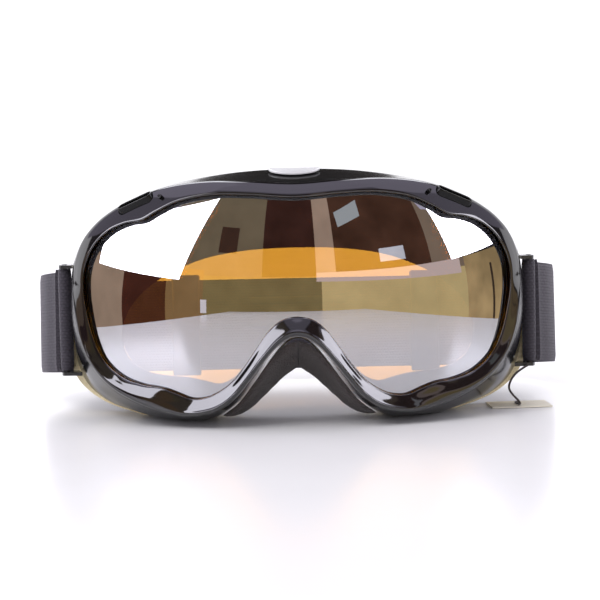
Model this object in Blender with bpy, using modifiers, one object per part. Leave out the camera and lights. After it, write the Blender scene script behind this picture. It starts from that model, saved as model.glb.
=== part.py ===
# Motocross / snow goggles with an elastic head strap, standing on the two lower lobes of the frame.
# Frame: X to the wearer's left-right (right of the viewer is +X), front of the lens towards -Y, +Z up, floor at z = 0.
# Every length is in metres; the tables below are written in millimetres and multiplied by MM.
import bpy
import bmesh
import math
from mathutils import Vector, Matrix

for ob in list(bpy.data.objects):
    bpy.data.objects.remove(ob, do_unlink=True)

MM = 0.001

# ------------------------------------------------------------------ named sizes (mm)
LENS_R = 125.0            # radius of the lens sphere
LENS_ZC = 42.0            # height of the sphere's centre
RING_STEPS = 2            # mesh steps between two neighbouring outline points
LENS_T = 1.0              # outer lens thickness
INNER_LENS_T = 0.8
GAP = 0.3                 # running gap between neighbouring pieces
FLANGE_T = 1.6            # thickness of the flange behind the face foam
MIDDLE_Y = 79.3           # half-way between the front of the bezel and the back of the adjusters
WALL_T = 2.1
FOAM_T = 8.0              # open-cell base foam
FLEECE_T = 4.0            # soft layer against the skin
STRAP_W = 42.0
STRAP_T = 1.6
STRAP_TILT = -7.5         # the strap sags towards the back, degrees
BAR_X, BAR_Y, BAR_Z = 95.6, 56.0, 39.5
BAR_R = 1.1
LOOP_T = 1.4
TAG_W, TAG_D, TAG_T = 25.0, 17.0, 0.5
CORD_R = 0.45

# Half outlines, from the top centre out to the side and round to the nose. (x, z)
OPENING = [(0, 89.4), (18, 90.6), (32, 90.8), (45, 88.6), (54, 84.6), (60, 81.3), (67, 80), (74, 77), (80, 71.5),
           (84.3, 63), (85.3, 54), (83.8, 43.5), (81, 33), (76.8, 25), (70, 19.4), (62, 16.7), (54, 15.7),
           (48, 13.8), (42.5, 11.8), (37.5, 12), (32.5, 13.9), (26.5, 18.2), (21, 24.8), (16, 32), (11, 38.8),
           (6, 42.8), (0, 44)]
BEZEL = [(0, 95), (18, 96), (33, 96.3), (47, 95), (57, 92.4), (65, 89.2), (73, 85), (80, 79.8), (85.8, 73),
         (89.3, 64.5), (90.4, 55), (90.2, 46), (88.7, 36.5), (85.5, 27), (80, 19), (72.5, 13), (63, 8.5),
         (54.5, 5.8), (46, 4.3), (38, 4.9), (31, 7.2), (24.5, 12.2), (18.5, 19.5), (13.3, 26.4), (8.4, 32),
         (4, 35.3), (0, 36.3)]
# outer shoulder of the frame, and the rim that meets the face. (x, z, y)
SHOULDER = [(0, 100.3, 26), (18, 99.8, 27), (33.2, 98.2, 29), (47.2, 95.7, 32), (58, 92.7, 35), (66.4, 89.2, 38),
            (74.6, 84.7, 41), (81.3, 79.5, 43.5), (86.8, 72.6, 45.5), (90.6, 64.2, 46.5), (92.1, 55, 47),
            (92.6, 46, 47), (92, 35.6, 47), (89.6, 25.2, 46.5), (84.2, 15.2, 45), (76, 8.2, 42), (65.6, 3.2, 39),
            (56, 0.5, 36), (46, -0.6, 32), (37.6, 0.4, 29), (29.6, 3.6, 27), (22.6, 9.4, 25), (16.8, 17, 23.5),
            (11.9, 24, 22.5), (7.4, 29.6, 22), (3.6, 33, 22), (0, 34, 22)]
RIM = [(0, 100, 37), (18, 99.4, 38), (33.2, 97.7, 41), (47.2, 95.2, 45), (58, 92, 48), (66.4, 88.3, 51),
       (74.7, 83.6, 54), (81.5, 78.3, 57), (86.7, 71.4, 59.5), (89.7, 63.2, 61), (90.8, 54.6, 62), (91, 46, 62),
       (92, 35.6, 61.5), (92.4, 24.4, 61), (88.4, 13.2, 59), (79.6, 5.6, 56), (68, 1.6, 52), (57, -0.4, 48),
       (46, -0.8, 44), (37.4, 0.0, 41), (29.4, 3.3, 38), (22.2, 9, 36), (16.4, 16.6, 34), (11.6, 23.4, 32.5),
       (7.2, 28.8, 31.5), (3.5, 32, 31), (0, 33, 31)]
# edge of the opening for the eyes: the flange runs inwards from the rim to here. (x, z, y)
FACE = [(0, 68.5, 37), (13, 68.2, 37.6), (25, 67, 39.2), (36, 64.8, 41.6), (45.5, 61.4, 44.2), (54, 57.2, 46.8),
        (61, 52.4, 49.3), (66.5, 47, 51.6), (70, 41.6, 53.2), (71.8, 36.5, 54.4), (72.2, 32, 55), (71.8, 28, 55.2),
        (70.5, 24.5, 55), (68.2, 21.6, 54.2), (65, 19.4, 52.8), (61, 17.8, 51), (56, 16.9, 48.8), (50.5, 16.4, 46.6),
        (44.5, 16, 44.6), (38, 14.9, 41.6), (31.6, 14, 38.8), (25, 17.4, 36.4), (20, 24.2, 34.4), (15.3, 31, 32.9),
        (10.2, 36.6, 31.8), (5.7, 40, 31.3), (0, 41.2, 31.2)]
# how far the base foam stands out past the rim; at the brow it is set back behind it
FOAM_OUT = [(-1.1,), (-1.1,), (-1.1,), (-1.1,), (-1.1,), (-1.0,), (-0.9,), (-0.7,), (-0.4,), (0.0,), (0.5,), (0.9,), (1.0,),
            (1.0,), (1.0,), (0.9,), (0.9,), (0.9,), (0.9,), (0.8,), (0.7,), (0.6,), (0.6,), (0.6,), (0.6,), (0.6,), (0.6,)]
# plan view of the strap, from the side to the middle of the back. (x, y)
STRAP_PLAN = [(99.4, 58.5), (99.4, 65), (99.4, 71), (102.2, 78), (107.4, 87), (111, 98), (111.7, 111), (108.2, 124),
              (101.5, 136.5), (94, 147), (84, 153.8), (73, 156.8), (62, 157), (31, 157), (0, 157)]

# ------------------------------------------------------------------ collections and materials
parts = bpy.data.collections.new("parts")
cutters = bpy.data.collections.new("cutters")
bpy.context.scene.collection.children.link(parts)
bpy.context.scene.collection.children.link(cutters)


def material(name, rgb, rough=0.5, metal=0.0, alpha=1.0, trans=0.0):
    m = bpy.data.materials.new(name)
    m.use_nodes = True
    b = m.node_tree.nodes["Principled BSDF"]
    b.inputs["Base Color"].default_value = (rgb[0], rgb[1], rgb[2], 1)
    b.inputs["Roughness"].default_value = rough
    b.inputs["Metallic"].default_value = metal
    b.inputs["Transmission Weight"].default_value = trans
    m.diffuse_color = (rgb[0], rgb[1], rgb[2], alpha)
    return m


BLACK = (0.02, 0.02, 0.022)
GREY = (0.05, 0.05, 0.055)


def add_mesh(name, verts, faces, mat, collection=parts):
    me = bpy.data.meshes.new(name)
    me.from_pydata([(v[0] * MM, v[1] * MM, v[2] * MM) for v in verts], [], faces)
    bm = bmesh.new()
    bm.from_mesh(me)
    bmesh.ops.recalc_face_normals(bm, faces=bm.faces)
    bm.to_mesh(me)
    bm.free()
    ob = bpy.data.objects.new(name, me)
    collection.objects.link(ob)
    if mat is not None:
        me.materials.append(mat)
    if collection is cutters:
        ob.hide_render = True
        ob.display_type = 'WIRE'
    return ob


# ------------------------------------------------------------------ outlines
def spline(points, t):
    """Catmull-Rom through a closed list of points, t counts in points."""
    n = len(points)
    i = int(math.floor(t))
    f = t - i
    p = [points[(i + k) % n] for k in (-1, 0, 1, 2)]
    out = []
    for a, b, c, d in zip(*p):
        out.append(0.5 * (2 * b + (c - a) * f + (2 * a - 5 * b + 4 * c - d) * f * f + (3 * b - a - 3 * c + d) * f ** 3))
    return tuple(out)


def closed(half):
    """Mirror a half outline into a closed one: right side from the top centre to the nose, then back up the left."""
    left = [(-p[0],) + tuple(p[1:]) for p in reversed(half[1:-1])]
    return list(half) + left


OPEN_C, BEZEL_C, SHOULDER_C, RIM_C = closed(OPENING), closed(BEZEL), closed(SHOULDER), closed(RIM)
FACE_C = closed(FACE)
COUNT = len(OPEN_C)


def sphere_y(x, z, h):
    """Depth of the lens sphere at (x, z), h outwards from the front face of the lens."""
    r = LENS_R + h
    return LENS_R - math.sqrt(r * r - x * x - (z - LENS_ZC) ** 2)


class Station:
    """One place on the way round the frame."""

    def __init__(self, t):
        self.a = spline(OPEN_C, t)
        self.b = spline(BEZEL_C, t)
        self.c = spline(SHOULDER_C, t)
        self.d = spline(RIM_C, t)
        self.e = spline(FACE_C, t)
        self.foam = spline(FOAM_OUT + FOAM_OUT[-2:0:-1], t)[0]
        self.low = min(1.0, max(0.0, (min(t % COUNT, COUNT - t % COUNT) - 10.0) / 3.0))
        dx, dz = self.b[0] - self.a[0], self.b[1] - self.a[1]
        self.w = math.hypot(dx, dz)
        self.out = (dx / self.w, dz / self.w)

    def band(self, u, h):
        """u outwards from the lens opening, h outwards from the lens front."""
        x, z = self.a[0] + self.out[0] * u, self.a[1] + self.out[1] * u
        return (x, sphere_y(x, z, h), z)

    def shoulder(self, inset, dy=0.0):
        return (self.c[0] - self.out[0] * inset, self.c[2] + dy, max(0.0, self.c[1] - self.out[1] * inset))

    def rim(self, inset, dy=0.0):
        return (self.d[0] - self.out[0] * inset, self.d[2] + dy, max(0.0, self.d[1] - self.out[1] * inset))

    def face(self, inset, dy=0.0, share=0.0):
        """On the line from the eye opening's edge (share 0) to the rim (share 1); inset is measured outwards."""
        dx, dz = self.d[0] - self.e[0], self.d[1] - self.e[1]
        f = share + inset / math.hypot(dx, dz)
        return (self.e[0] + dx * f, self.e[2] + (self.d[2] - self.e[2]) * f + dy, max(0.0, self.e[1] + dz * f))


def stations(steps):
    return [Station(k / steps) for k in range(COUNT * steps)]


STS = stations(RING_STEPS)


def ring(name, section, mat, sts=None):
    """Loft a closed section round the frame. section(station) gives the points of the section."""
    sts = sts or STS
    loops = [section(s) for s in sts]
    m, n = len(loops[0]), len(loops)
    verts = [p for lp in loops for p in lp]
    faces = []
    for i in range(n):
        j = (i + 1) % n
        for k in range(m):
            l = (k + 1) % m
            faces.append((i * m + k, i * m + l, j * m + l, j * m + k))
    return add_mesh(name, verts, faces, mat)


# ------------------------------------------------------------------ rigid frame
def bezel_section(s):
    w = s.w
    k = 1.0 + 0.25 * s.low     # the roll is higher along the cheeks and nose
    return [s.band(0.0, 0.25), s.band(0.35, 1.1), s.band(1.3, 2.1 * k), s.band(0.5 * w, 2.7 * k), s.band(w - 1.2, 2.3 * k),
            s.band(w - 0.3, 1.4), s.band(w, 0.4), s.band(w - 0.3, 0.0), s.band(0.3, 0.0)]


bezel = ring("bezel", bezel_section, material("bezel_gloss", BLACK, 0.08))

SEAT_H = -5.3
SEAT_B = -6.7


def frame_section(s):
    w = s.w
    low = s.band(w - 1.2, SEAT_B)
    corner = s.shoulder(WALL_T)
    corner = (corner[0], max(corner[1], low[1] + 1.5), corner[2])
    return [s.band(w - 0.9, -0.3), s.band(w - 0.1, -0.4), s.shoulder(0.0), s.rim(0.0), s.face(0, 0, 0.5), s.face(0),
            s.face(0, -FLANGE_T), s.face(0, -FLANGE_T, 0.5), s.rim(WALL_T, -FLANGE_T), corner, low, s.band(0.1, SEAT_B),
            s.band(0.1, SEAT_H), s.band(2.9, SEAT_H), s.band(2.9, -0.3)]


frame = ring("frame_body", frame_section, material("frame_plastic", BLACK, 0.2))


# ------------------------------------------------------------------ lenses and gasket
def lens(name, edge, front, thick, mat):
    """Open sheet on the lens sphere, solidified inwards. Each ring further in has half the points of the last."""
    cx, cz = 0.0, 62.0
    inside = [s.band(-0.8, 0.0) for s in STS]
    loops = [[(p[0], p[2]) for p in (s.band(edge, 0.0) for s in STS)], [(p[0], p[2]) for p in inside]]
    for f, skip in ((0.74, 2), (0.4, 4)):
        loops.append([(cx + (p[0] - cx) * f, cz + (p[2] - cz) * f) for p in inside[::skip]])
    verts, start = [], []
    for loop in loops:
        start.append(len(verts))
        verts += [(x, sphere_y(x, z, front), z) for x, z in loop]
    verts.append((cx, sphere_y(cx, cz, front), cz))
    faces = []
    for r in range(len(loops) - 1):
        a, b, n, m = start[r], start[r + 1], len(loops[r]), len(loops[r + 1])
        if n == m:
            faces += [(a + i, a + (i + 1) % n, b + (i + 1) % n, b + i) for i in range(n)]
        else:
            for k in range(m):
                i, j = 2 * k, (2 * k + 2) % n
                faces.append((a + i, a + i + 1, b + k))
                faces.append((a + i + 1, a + j, b + (k + 1) % m, b + k))
    n, a = len(loops[-1]), start[-1]
    faces += [(a + i, a + (i + 1) % n, len(verts) - 1) for i in range(n)]
    ob = add_mesh(name, verts, faces, mat)
    if ob.data.polygons[0].normal.y > 0:
        ob.data.flip_normals()
    mod = ob.modifiers.new("thickness", 'SOLIDIFY')
    mod.thickness = thick * MM
    mod.offset = -1.0
    return ob


outer_lens = lens("outer_lens", 2.5, -0.3, LENS_T, material("lens_mirror", (0.75, 0.35, 0.05), 0.03, 0.6, 0.6, 0.5))
inner_lens = lens("inner_lens", 2.5, -4.2, INNER_LENS_T, material("lens_clear", (0.85, 0.85, 0.85), 0.03, 0.0, 0.4, 0.9))


def gasket_section(s):
    return [s.band(0.2, -1.6), s.band(2.6, -1.6), s.band(2.6, -3.9), s.band(0.2, -3.9)]


gasket = ring("lens_gasket", gasket_section, material("gasket_foam", (0.03, 0.03, 0.03), 0.9))


# ------------------------------------------------------------------ face foam: yellow base and dark fleece
def base_section(s):
    o = s.foam
    return [s.rim(-o, 0.9), s.rim(0.6 - o, GAP), s.face(0, GAP, 0.5), s.face(-0.7, GAP), s.face(-0.7, FOAM_T),
            s.face(0, FOAM_T, 0.5), s.rim(0.9 - o, FOAM_T), s.rim(-o, FOAM_T - 0.7)]


face_foam = ring("face_foam_base", base_section, material("foam_yellow", (0.82, 0.66, 0.28), 0.95))


def fleece_section(s):
    y0, y1 = FOAM_T + 0.6, FOAM_T + 0.6 + FLEECE_T
    o = s.foam
    return [s.rim(0.5 - o, y0 + 0.6), s.rim(1.2 - o, y0), s.face(0, y0, 0.5), s.face(-0.6, y0), s.face(0.8, y1),
            s.face(0, y1, 0.5), s.rim(2.5 - o, y1), s.rim(0.8 - o, y1 - 1.4)]


fleece = ring("face_fleece", fleece_section, material("fleece_dark", (0.03, 0.027, 0.027), 1.0))


# ------------------------------------------------------------------ boolean helper and oval slots
def frame_at(t, v, lift=0.0):
    """Place on the outer wall: t round the frame, v from 0 at the bezel edge to 1 at the shoulder, 2 at the rim."""
    def at(tt, vv):
        s = Station(tt % COUNT)
        p = [Vector(s.band(s.w - 0.1, -0.4)), Vector(s.shoulder(0.0)), Vector(s.rim(0.0))]
        k = min(1, int(vv))
        return p[k].lerp(p[k + 1], vv - k)
    c = at(t, v)
    along = (at(t + 0.5, v) - at(t - 0.5, v)).normalized()
    across = (at(t, v + 0.05) - at(t, v - 0.05)).normalized()
    normal = along.cross(across).normalized()
    s = Station(t % COUNT)
    if normal.dot(Vector((s.out[0], 0, s.out[1]))) < 0:
        normal = -normal
    across = normal.cross(along).normalized()
    return c + normal * lift, along, across, normal


def vent_at(t):
    """Place on the outer edge of the bezel, facing half-way between forwards and outwards."""
    def edge(tt):
        s = Station(tt % COUNT)
        return Vector(s.band(s.w - 2.0, 1.2))
    c = edge(t)
    along = (edge(t + 0.5) - edge(t - 0.5)).normalized()
    front = (c - Vector((0, LENS_R, LENS_ZC))).normalized()
    front = (front - along * front.dot(along)).normalized()
    side = front.cross(along)
    s = Station(t % COUNT)
    if side.dot(Vector((s.out[0], 0, s.out[1]))) < 0:
        side = -side
    normal = (front + side * 0.8).normalized()
    return c, along, normal.cross(along), normal


def oval(length, width, steps=6):
    """Slot outline with round ends, centred, in two flat axes."""
    r = width / 2
    s = length / 2 - r
    pts = []
    for k in range(steps + 1):
        a = -math.pi / 2 + math.pi * k / steps
        pts.append((s + r * math.cos(a), r * math.sin(a)))
    for k in range(steps + 1):
        a = math.pi / 2 + math.pi * k / steps
        pts.append((-s + r * math.cos(a), r * math.sin(a)))
    return pts


def baked(ob, name, mat, collection, matrix):
    """Turn a curve object into a closed mesh object placed by a matrix."""
    bpy.context.view_layer.update()
    me = bpy.data.meshes.new_from_object(ob.evaluated_get(bpy.context.evaluated_depsgraph_get()))
    bpy.data.objects.remove(ob, do_unlink=True)
    bm = bmesh.new()
    bm.from_mesh(me)
    bmesh.ops.remove_doubles(bm, verts=bm.verts, dist=0.00001)
    bmesh.ops.transform(bm, matrix=matrix, verts=bm.verts)
    bmesh.ops.recalc_face_normals(bm, faces=bm.faces)
    bm.to_mesh(me)
    bm.free()
    me.name = name
    me.materials.clear()
    if mat is not None:
        me.materials.append(mat)
    new = bpy.data.objects.new(name, me)
    collection.objects.link(new)
    if collection is cutters:
        new.hide_render = True
        new.display_type = 'WIRE'
    return new


def flat_curve(name, points, cyclic, extrude, fill):
    cu = bpy.data.curves.new(name, 'CURVE')
    cu.dimensions = '2D'
    cu.fill_mode = 'BOTH' if fill else 'NONE'
    cu.extrude = extrude * MM
    sp = cu.splines.new('POLY')
    sp.points.add(len(points) - 1)
    for q, p in zip(sp.points, points):
        q.co = (p[0] * MM, p[1] * MM, 0, 1)
    sp.use_cyclic_u = cyclic
    ob = bpy.data.objects.new(name, cu)
    bpy.context.scene.collection.objects.link(ob)
    return ob


def prism(name, place, outline, low, high, mat, collection=parts):
    """A flat outline given thickness. place is centre (mm) and three axes."""
    c, u, v, n = place
    ob = flat_curve(name + "_outline", outline, True, (high - low) / 2, True)
    o = (c + n * ((low + high) / 2)) * MM
    w = u.cross(v)
    mat4 = Matrix((
        (u.x, v.x, w.x, o.x), (u.y, v.y, w.y, o.y), (u.z, v.z, w.z, o.z), (0, 0, 0, 1)))
    return baked(ob, name, mat, collection, mat4)


def cube(name, x0, x1, y0, y1, z0, z1, mat, collection=parts, tilt_about=None):
    bm = bmesh.new()
    bmesh.ops.create_cube(bm, size=1.0)
    size = Matrix.Diagonal(((x1 - x0) * MM, (y1 - y0) * MM, (z1 - z0) * MM, 1))
    place = Matrix.Translation(Vector((x0 + x1, y0 + y1, z0 + z1)) * 0.5 * MM)
    m = place @ size
    if tilt_about is not None:
        m = Matrix.Translation(tilt_about * MM) @ Matrix.Rotation(math.radians(STRAP_TILT), 4, 'X') @ Matrix.Translation(-tilt_about * MM) @ m
    bmesh.ops.transform(bm, matrix=m, verts=bm.verts)
    me = bpy.data.meshes.new(name)
    bm.to_mesh(me)
    bm.free()
    if mat is not None:
        me.materials.append(mat)
    ob = bpy.data.objects.new(name, me)
    collection.objects.link(ob)
    if collection is cutters:
        ob.hide_render = True
        ob.display_type = 'WIRE'
    return ob


def rod(name, x, y, z, r, h, sides, mat, collection=parts, matrix=None):
    """Upright cylinder, or any way up with a matrix."""
    bm = bmesh.new()
    bmesh.ops.create_cone(bm, cap_ends=True, segments=sides, radius1=r * MM, radius2=r * MM, depth=h * MM,
                          matrix=matrix if matrix is not None else Matrix.Translation(Vector((x, y, z)) * MM))
    me = bpy.data.meshes.new(name)
    bm.to_mesh(me)
    bm.free()
    if mat is not None:
        me.materials.append(mat)
    ob = bpy.data.objects.new(name, me)
    collection.objects.link(ob)
    if collection is cutters:
        ob.hide_render = True
        ob.display_type = 'WIRE'
    return ob


def cut(target, cutter):
    mod = target.modifiers.new("cut_" + cutter.name, 'BOOLEAN')
    mod.operation = 'DIFFERENCE'
    mod.solver = 'EXACT'
    mod.object = cutter


VENT_T = 4.85      # station of the side vents
TOP_VENTS = (1.35, 2.85)
grille_mat = material("vent_black", BLACK, 0.35)
for side, sign in (("right", 1), ("left", -1)):
    t = VENT_T * sign
    place = vent_at(t)
    c1 = prism("cut_vent_" + side, place, oval(17.0, 5.2), -4.0, 4.5, None, cutters)
    cut(frame, c1)
    cut(bezel, c1)
    cup = prism("vent_cup_" + side, place, oval(16.4, 4.6), -3.4, 1.5, grille_mat)
    c2 = prism("cut_cup_" + side, place, oval(15.2, 3.4), -2.2, 2.5, None, cutters)
    cut(cup, c2)
    st = Station((VENT_T - 1.2) * sign % COUNT)
    sc = Vector(st.band(st.w - 2.8, 3.2))
    sn = (sc - Vector((0, LENS_R, LENS_ZC))).normalized()
    sm = Matrix.Translation(sc * MM) @ sn.to_track_quat('Z', 'Y').to_matrix().to_4x4()
    rod("vent_stud_" + side, 0, 0, 0, 0.9, 0.7, 14, grille_mat, matrix=sm)
    for k, tv in enumerate(TOP_VENTS):
        pl = frame_at(tv * sign, 1.5)
        c3 = prism("cut_top_%s_%d" % (side, k), pl, oval(13.0, 4.0, 4), -3.5, 4.0, None, cutters)
        cut(frame, c3)


# foam strip that covers the top vents from inside
def strip(name, ts, section, mat):
    loops = [section(Station(t % COUNT)) for t in ts]
    m, n = len(loops[0]), len(loops)
    verts = [p for lp in loops for p in lp]
    faces = [tuple(range(m)), tuple(range((n - 1) * m, n * m))]
    for i in range(n - 1):
        for k in range(m):
            l = (k + 1) % m
            faces.append((i * m + k, i * m + l, (i + 1) * m + l, (i + 1) * m + k))
    return add_mesh(name, verts, faces, mat)


def vent_foam_section(s):
    a, b = s.shoulder(WALL_T + 0.4, 1.5), s.rim(WALL_T + 0.4, -FLANGE_T - 0.4)
    c, d = s.rim(WALL_T + 3.0, -FLANGE_T - 0.4), s.shoulder(WALL_T + 3.0, 1.5)
    return [a, b, c, d]


strip("top_vent_foam", [k * 0.5 for k in range(-8, 9)], vent_foam_section, material("vent_foam", (0.06, 0.06, 0.06), 0.95))

# ------------------------------------------------------------------ badge plate on the top shelf, left blank
badge_out = [(10.2 * math.cos(a * math.pi / 14), -5.6 * math.sin(a * math.pi / 14)) for a in range(15)]
pc, pu, pv, pn = frame_at(0.0, 0.86)
if pv.y < 0:
    pv = -pv
prism("badge_plate", (pc, Vector((1, 0, 0)), pv, pn), badge_out, 0.45, 1.3, material("badge_silver", (0.8, 0.8, 0.8), 0.3, 0.6))


# ------------------------------------------------------------------ nose flaps
FLAP_TOP = [(1.6, 14, 33.2), (4.2, 14, 31.8), (8.0, 14.5, 28.6), (12.6, 15.5, 23), (17.8, 17, 15.8), (23.6, 19.5, 8.2),
            (30.2, 22.5, 3.0)]
FLAP_MID = [(1.6, 30, 26.3), (3.8, 30, 25), (7.4, 30, 22.2), (11.6, 30, 17.6), (16.6, 30, 11.6), (22, 30.5, 5.8),
            (28.6, 31, 2.5)]
FLAP_LOW = [(1.7, 45, 20.4), (3.8, 45, 18.6), (7.2, 45, 15.8), (11, 44.5, 12.4), (15.6, 43.5, 8.6), (20.8, 41, 4.6),
            (26.8, 36.6, 2.0)]
flap_mat = material("flap_dark", (0.035, 0.028, 0.025), 0.95)
for side, sign in (("right", 1), ("left", -1)):
    rows = []
    for a, b, c in zip(FLAP_TOP, FLAP_MID, FLAP_LOW):
        row = []
        for k in range(5):
            f = k / 4
            q = [(1 - f) ** 2 * a[i] + 2 * f * (1 - f) * (2 * b[i] - 0.5 * (a[i] + c[i])) + f * f * c[i] for i in range(3)]
            row.append((q[0] * sign, q[1], q[2]))
        rows.append(row)
    verts = [p for r in rows for p in r]
    faces = []
    for i in range(len(rows) - 1):
        for k in range(4):
            q = [i * 5 + k, i * 5 + k + 1, (i + 1) * 5 + k + 1, (i + 1) * 5 + k]
            faces.append(tuple(q if sign > 0 else reversed(q)))
    me = bpy.data.meshes.new("nose_flap_" + side)
    me.from_pydata([(v[0] * MM, v[1] * MM, v[2] * MM) for v in verts], [], faces)
    me.materials.append(flap_mat)
    ob = bpy.data.objects.new("nose_flap_" + side, me)
    parts.objects.link(ob)
    sol = ob.modifiers.new("thick", 'SOLIDIFY')
    sol.thickness = 1.8 * MM
    sol.offset = 1.0
    sol.use_even_offset = False


# ------------------------------------------------------------------ strap mounts: bracket, bar, sewn loop
def ribbon(name, path, width, thick, zc, mat, tilt_about=None, collection=parts):
    """Upright band along a plan path (x, y): an extruded curve, solidified, with softened long edges."""
    ob = flat_curve(name + "_path", path, False, width / 2, False)
    m = Matrix.Translation((0, 0, zc * MM))
    if tilt_about is not None:
        m = Matrix.Translation(tilt_about * MM) @ Matrix.Rotation(math.radians(STRAP_TILT), 4, 'X') @ Matrix.Translation(-tilt_about * MM) @ m
    new = baked(ob, name, mat, collection, m)
    sol = new.modifiers.new("thickness", 'SOLIDIFY')
    sol.thickness = thick * MM
    sol.offset = 0.0
    sol.use_even_offset = True
    bev = new.modifiers.new("soft_edges", 'BEVEL')
    bev.width = 0.4 * MM
    bev.segments = 1
    bev.limit_method = 'ANGLE'
    bev.angle_limit = math.radians(60)
    return new


bracket_mat = material("bracket_plastic", BLACK, 0.3)
bar_mat = material("bar_metal", (0.12, 0.12, 0.13), 0.35, 0.8)
strap_mat = material("strap_webbing", (0.06, 0.052, 0.066), 0.9)
ARM_Z = STRAP_W / 2 + 2.0


def loop_path(sign):
    pts = [(95.9, 68.6), (94.9, 64), (93.9, 59.5), (93.6, 57)]
    for k in range(1, 8):
        a = math.pi + math.pi * k / 8
        pts.append((BAR_X + 2.0 * math.cos(a), BAR_Y - 0.2 + 2.0 * math.sin(a)))
    pts += [(97.6, 57), (97.6, 60), (97.6, 65), (97.6, 69.6)]
    return [(sign * p[0], p[1]) for p in pts]


for side, sign in (("right", 1), ("left", -1)):
    ribbon("strap_loop_" + side, loop_path(sign), STRAP_W, LOOP_T, BAR_Z, strap_mat)
    # two arms on the side wall hold the bar, one above the strap and one below it
    up = (Vector((1, 0, 0)), Vector((0, 1, 0)), Vector((0, 0, 1)))
    for end, zs in (("top", 1), ("base", -1)):
        inner = [(92.1, 51.2), (91.5, 58.8)] if zs > 0 else [(88.9, 51.2), (91.2, 58.8)]
        outline = [(sign * x, y) for x, y in [inner[0], (96.6, 51.8), (97.5, 53.4), (97.5, 57.6), (96.6, 58.6), inner[1]]]
        arm = prism("strap_arm_%s_%s" % (end, side), (Vector((0, 0, BAR_Z + zs * (STRAP_W / 2 + 1.1))),) + up, outline,
                    -0.7, 0.7, bracket_mat)
        hole = rod("cut_arm_%s_%s" % (end, side), sign * BAR_X, BAR_Y, BAR_Z + zs * (STRAP_W / 2 + 1.1), BAR_R + 0.08, 6, 20,
                   None, cutters)
        cut(arm, hole)
    rod("strap_bar_" + side, sign * BAR_X, BAR_Y, BAR_Z, BAR_R, STRAP_W + 4.0, 16, bar_mat)


# ------------------------------------------------------------------ head strap, grips and adjusters
def open_spline(points, steps):
    pts = []
    n = len(points)
    for i in range(n - 1):
        p = [points[max(0, i - 1)], points[i], points[i + 1], points[min(n - 1, i + 2)]]
        for k in range(steps):
            f = k / steps
            pts.append(tuple(0.5 * (2 * b + (c - a) * f + (2 * a - 5 * b + 4 * c - d) * f * f + (3 * b - a - 3 * c + d) * f ** 3)
                             for a, b, c, d in zip(*p)))
    pts.append(tuple(points[-1]))
    return pts


half = open_spline(STRAP_PLAN, 2)
full = half + [(-x, y) for x, y in reversed(half[:-1])]
pivot = Vector((0, BAR_Y, BAR_Z))
ribbon("strap_band", full, STRAP_W, STRAP_T, BAR_Z, strap_mat, tilt_about=pivot)

BACK_Y = 157.0
tilt = Matrix.Rotation(math.radians(STRAP_TILT), 3, 'X')
grip_mat = material("grip_silicone", (0.03, 0.03, 0.035), 0.5)
for name, zc in (("grip_upper", 11.0), ("grip_middle", 0.0), ("grip_lower", -11.0)):
    cube(name, -22, 22, BACK_Y - STRAP_T / 2 - 0.9, BACK_Y - STRAP_T / 2 - 0.2, BAR_Z + zc - 1.4, BAR_Z + zc + 1.4, grip_mat,
         tilt_about=pivot)

slider_mat = material("slider_plastic", BLACK, 0.25)
SLIDER_X = {"left": -52.0, "right": 59.0}
for side in ("right", "left"):
    x = SLIDER_X[side]
    hz = STRAP_W / 2
    ob = cube("slider_" + side, x - 6.5, x + 6.5, BACK_Y - 2.3, BACK_Y + 2.7, BAR_Z - hz - 2.4, BAR_Z + hz + 2.4, slider_mat,
              tilt_about=pivot)
    cut(ob, cube("cut_slide_" + side, x - 9, x + 9, BACK_Y - 1.15, BACK_Y + 1.15, BAR_Z - hz - 0.4, BAR_Z + hz + 0.4, None,
                 cutters, pivot))
    cut(ob, cube("cut_win_a_" + side, x - 5.0, x - 1.1, BACK_Y + 0.5, BACK_Y + 4, BAR_Z - hz + 1, BAR_Z + hz - 1, None,
                 cutters, pivot))
    cut(ob, cube("cut_win_b_" + side, x + 1.1, x + 5.0, BACK_Y + 0.5, BACK_Y + 4, BAR_Z - hz + 1, BAR_Z + hz - 1, None,
                 cutters, pivot))

# ------------------------------------------------------------------ retail tag: card on the floor and its thin cord
tag_c = Vector((91.0, 56.0, 0.0))
ang = math.radians(4)
tu, tv = Vector((math.cos(ang), math.sin(ang), 0)), Vector((-math.sin(ang), math.cos(ang), 0))
prism("tag_card", (tag_c, tu, tv, Vector((0, 0, 1))), [(-12.5, -8.5), (12.5, -8.5), (12.5, 8.5), (-12.5, 8.5)], 0.0, TAG_T,
      material("tag_paper", (0.86, 0.82, 0.72), 0.8))
cord_pts = [(94.6, 50.2, 17.4), (92.2, 49.4, 16.2), (89.2, 48.6, 14.2), (87.0, 47.6, 11.6), (86.0, 46.6, 8.6), (87.2, 46.4, 6.0),
            (89.4, 46.8, 3.6), (90.6, 48.0, 1.9), (90.6, 50.4, 1.2), (90.0, 53.0, 1.15), (89.6, 55.5, 1.1)]
cu = bpy.data.curves.new("tag_cord", 'CURVE')
cu.dimensions = '3D'
sp = cu.splines.new('POLY')
path = open_spline(cord_pts, 3)
sp.points.add(len(path) - 1)
for p, q in zip(sp.points, path):
    p.co = (q[0] * MM, q[1] * MM, q[2] * MM, 1)
cu.bevel_depth = CORD_R * MM
cu.bevel_resolution = 2
cu.use_fill_caps = True
cu.materials.append(material("tag_string", (0.08, 0.05, 0.04), 0.8))
cord = bpy.data.objects.new("tag_cord", cu)
parts.objects.link(cord)

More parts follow.
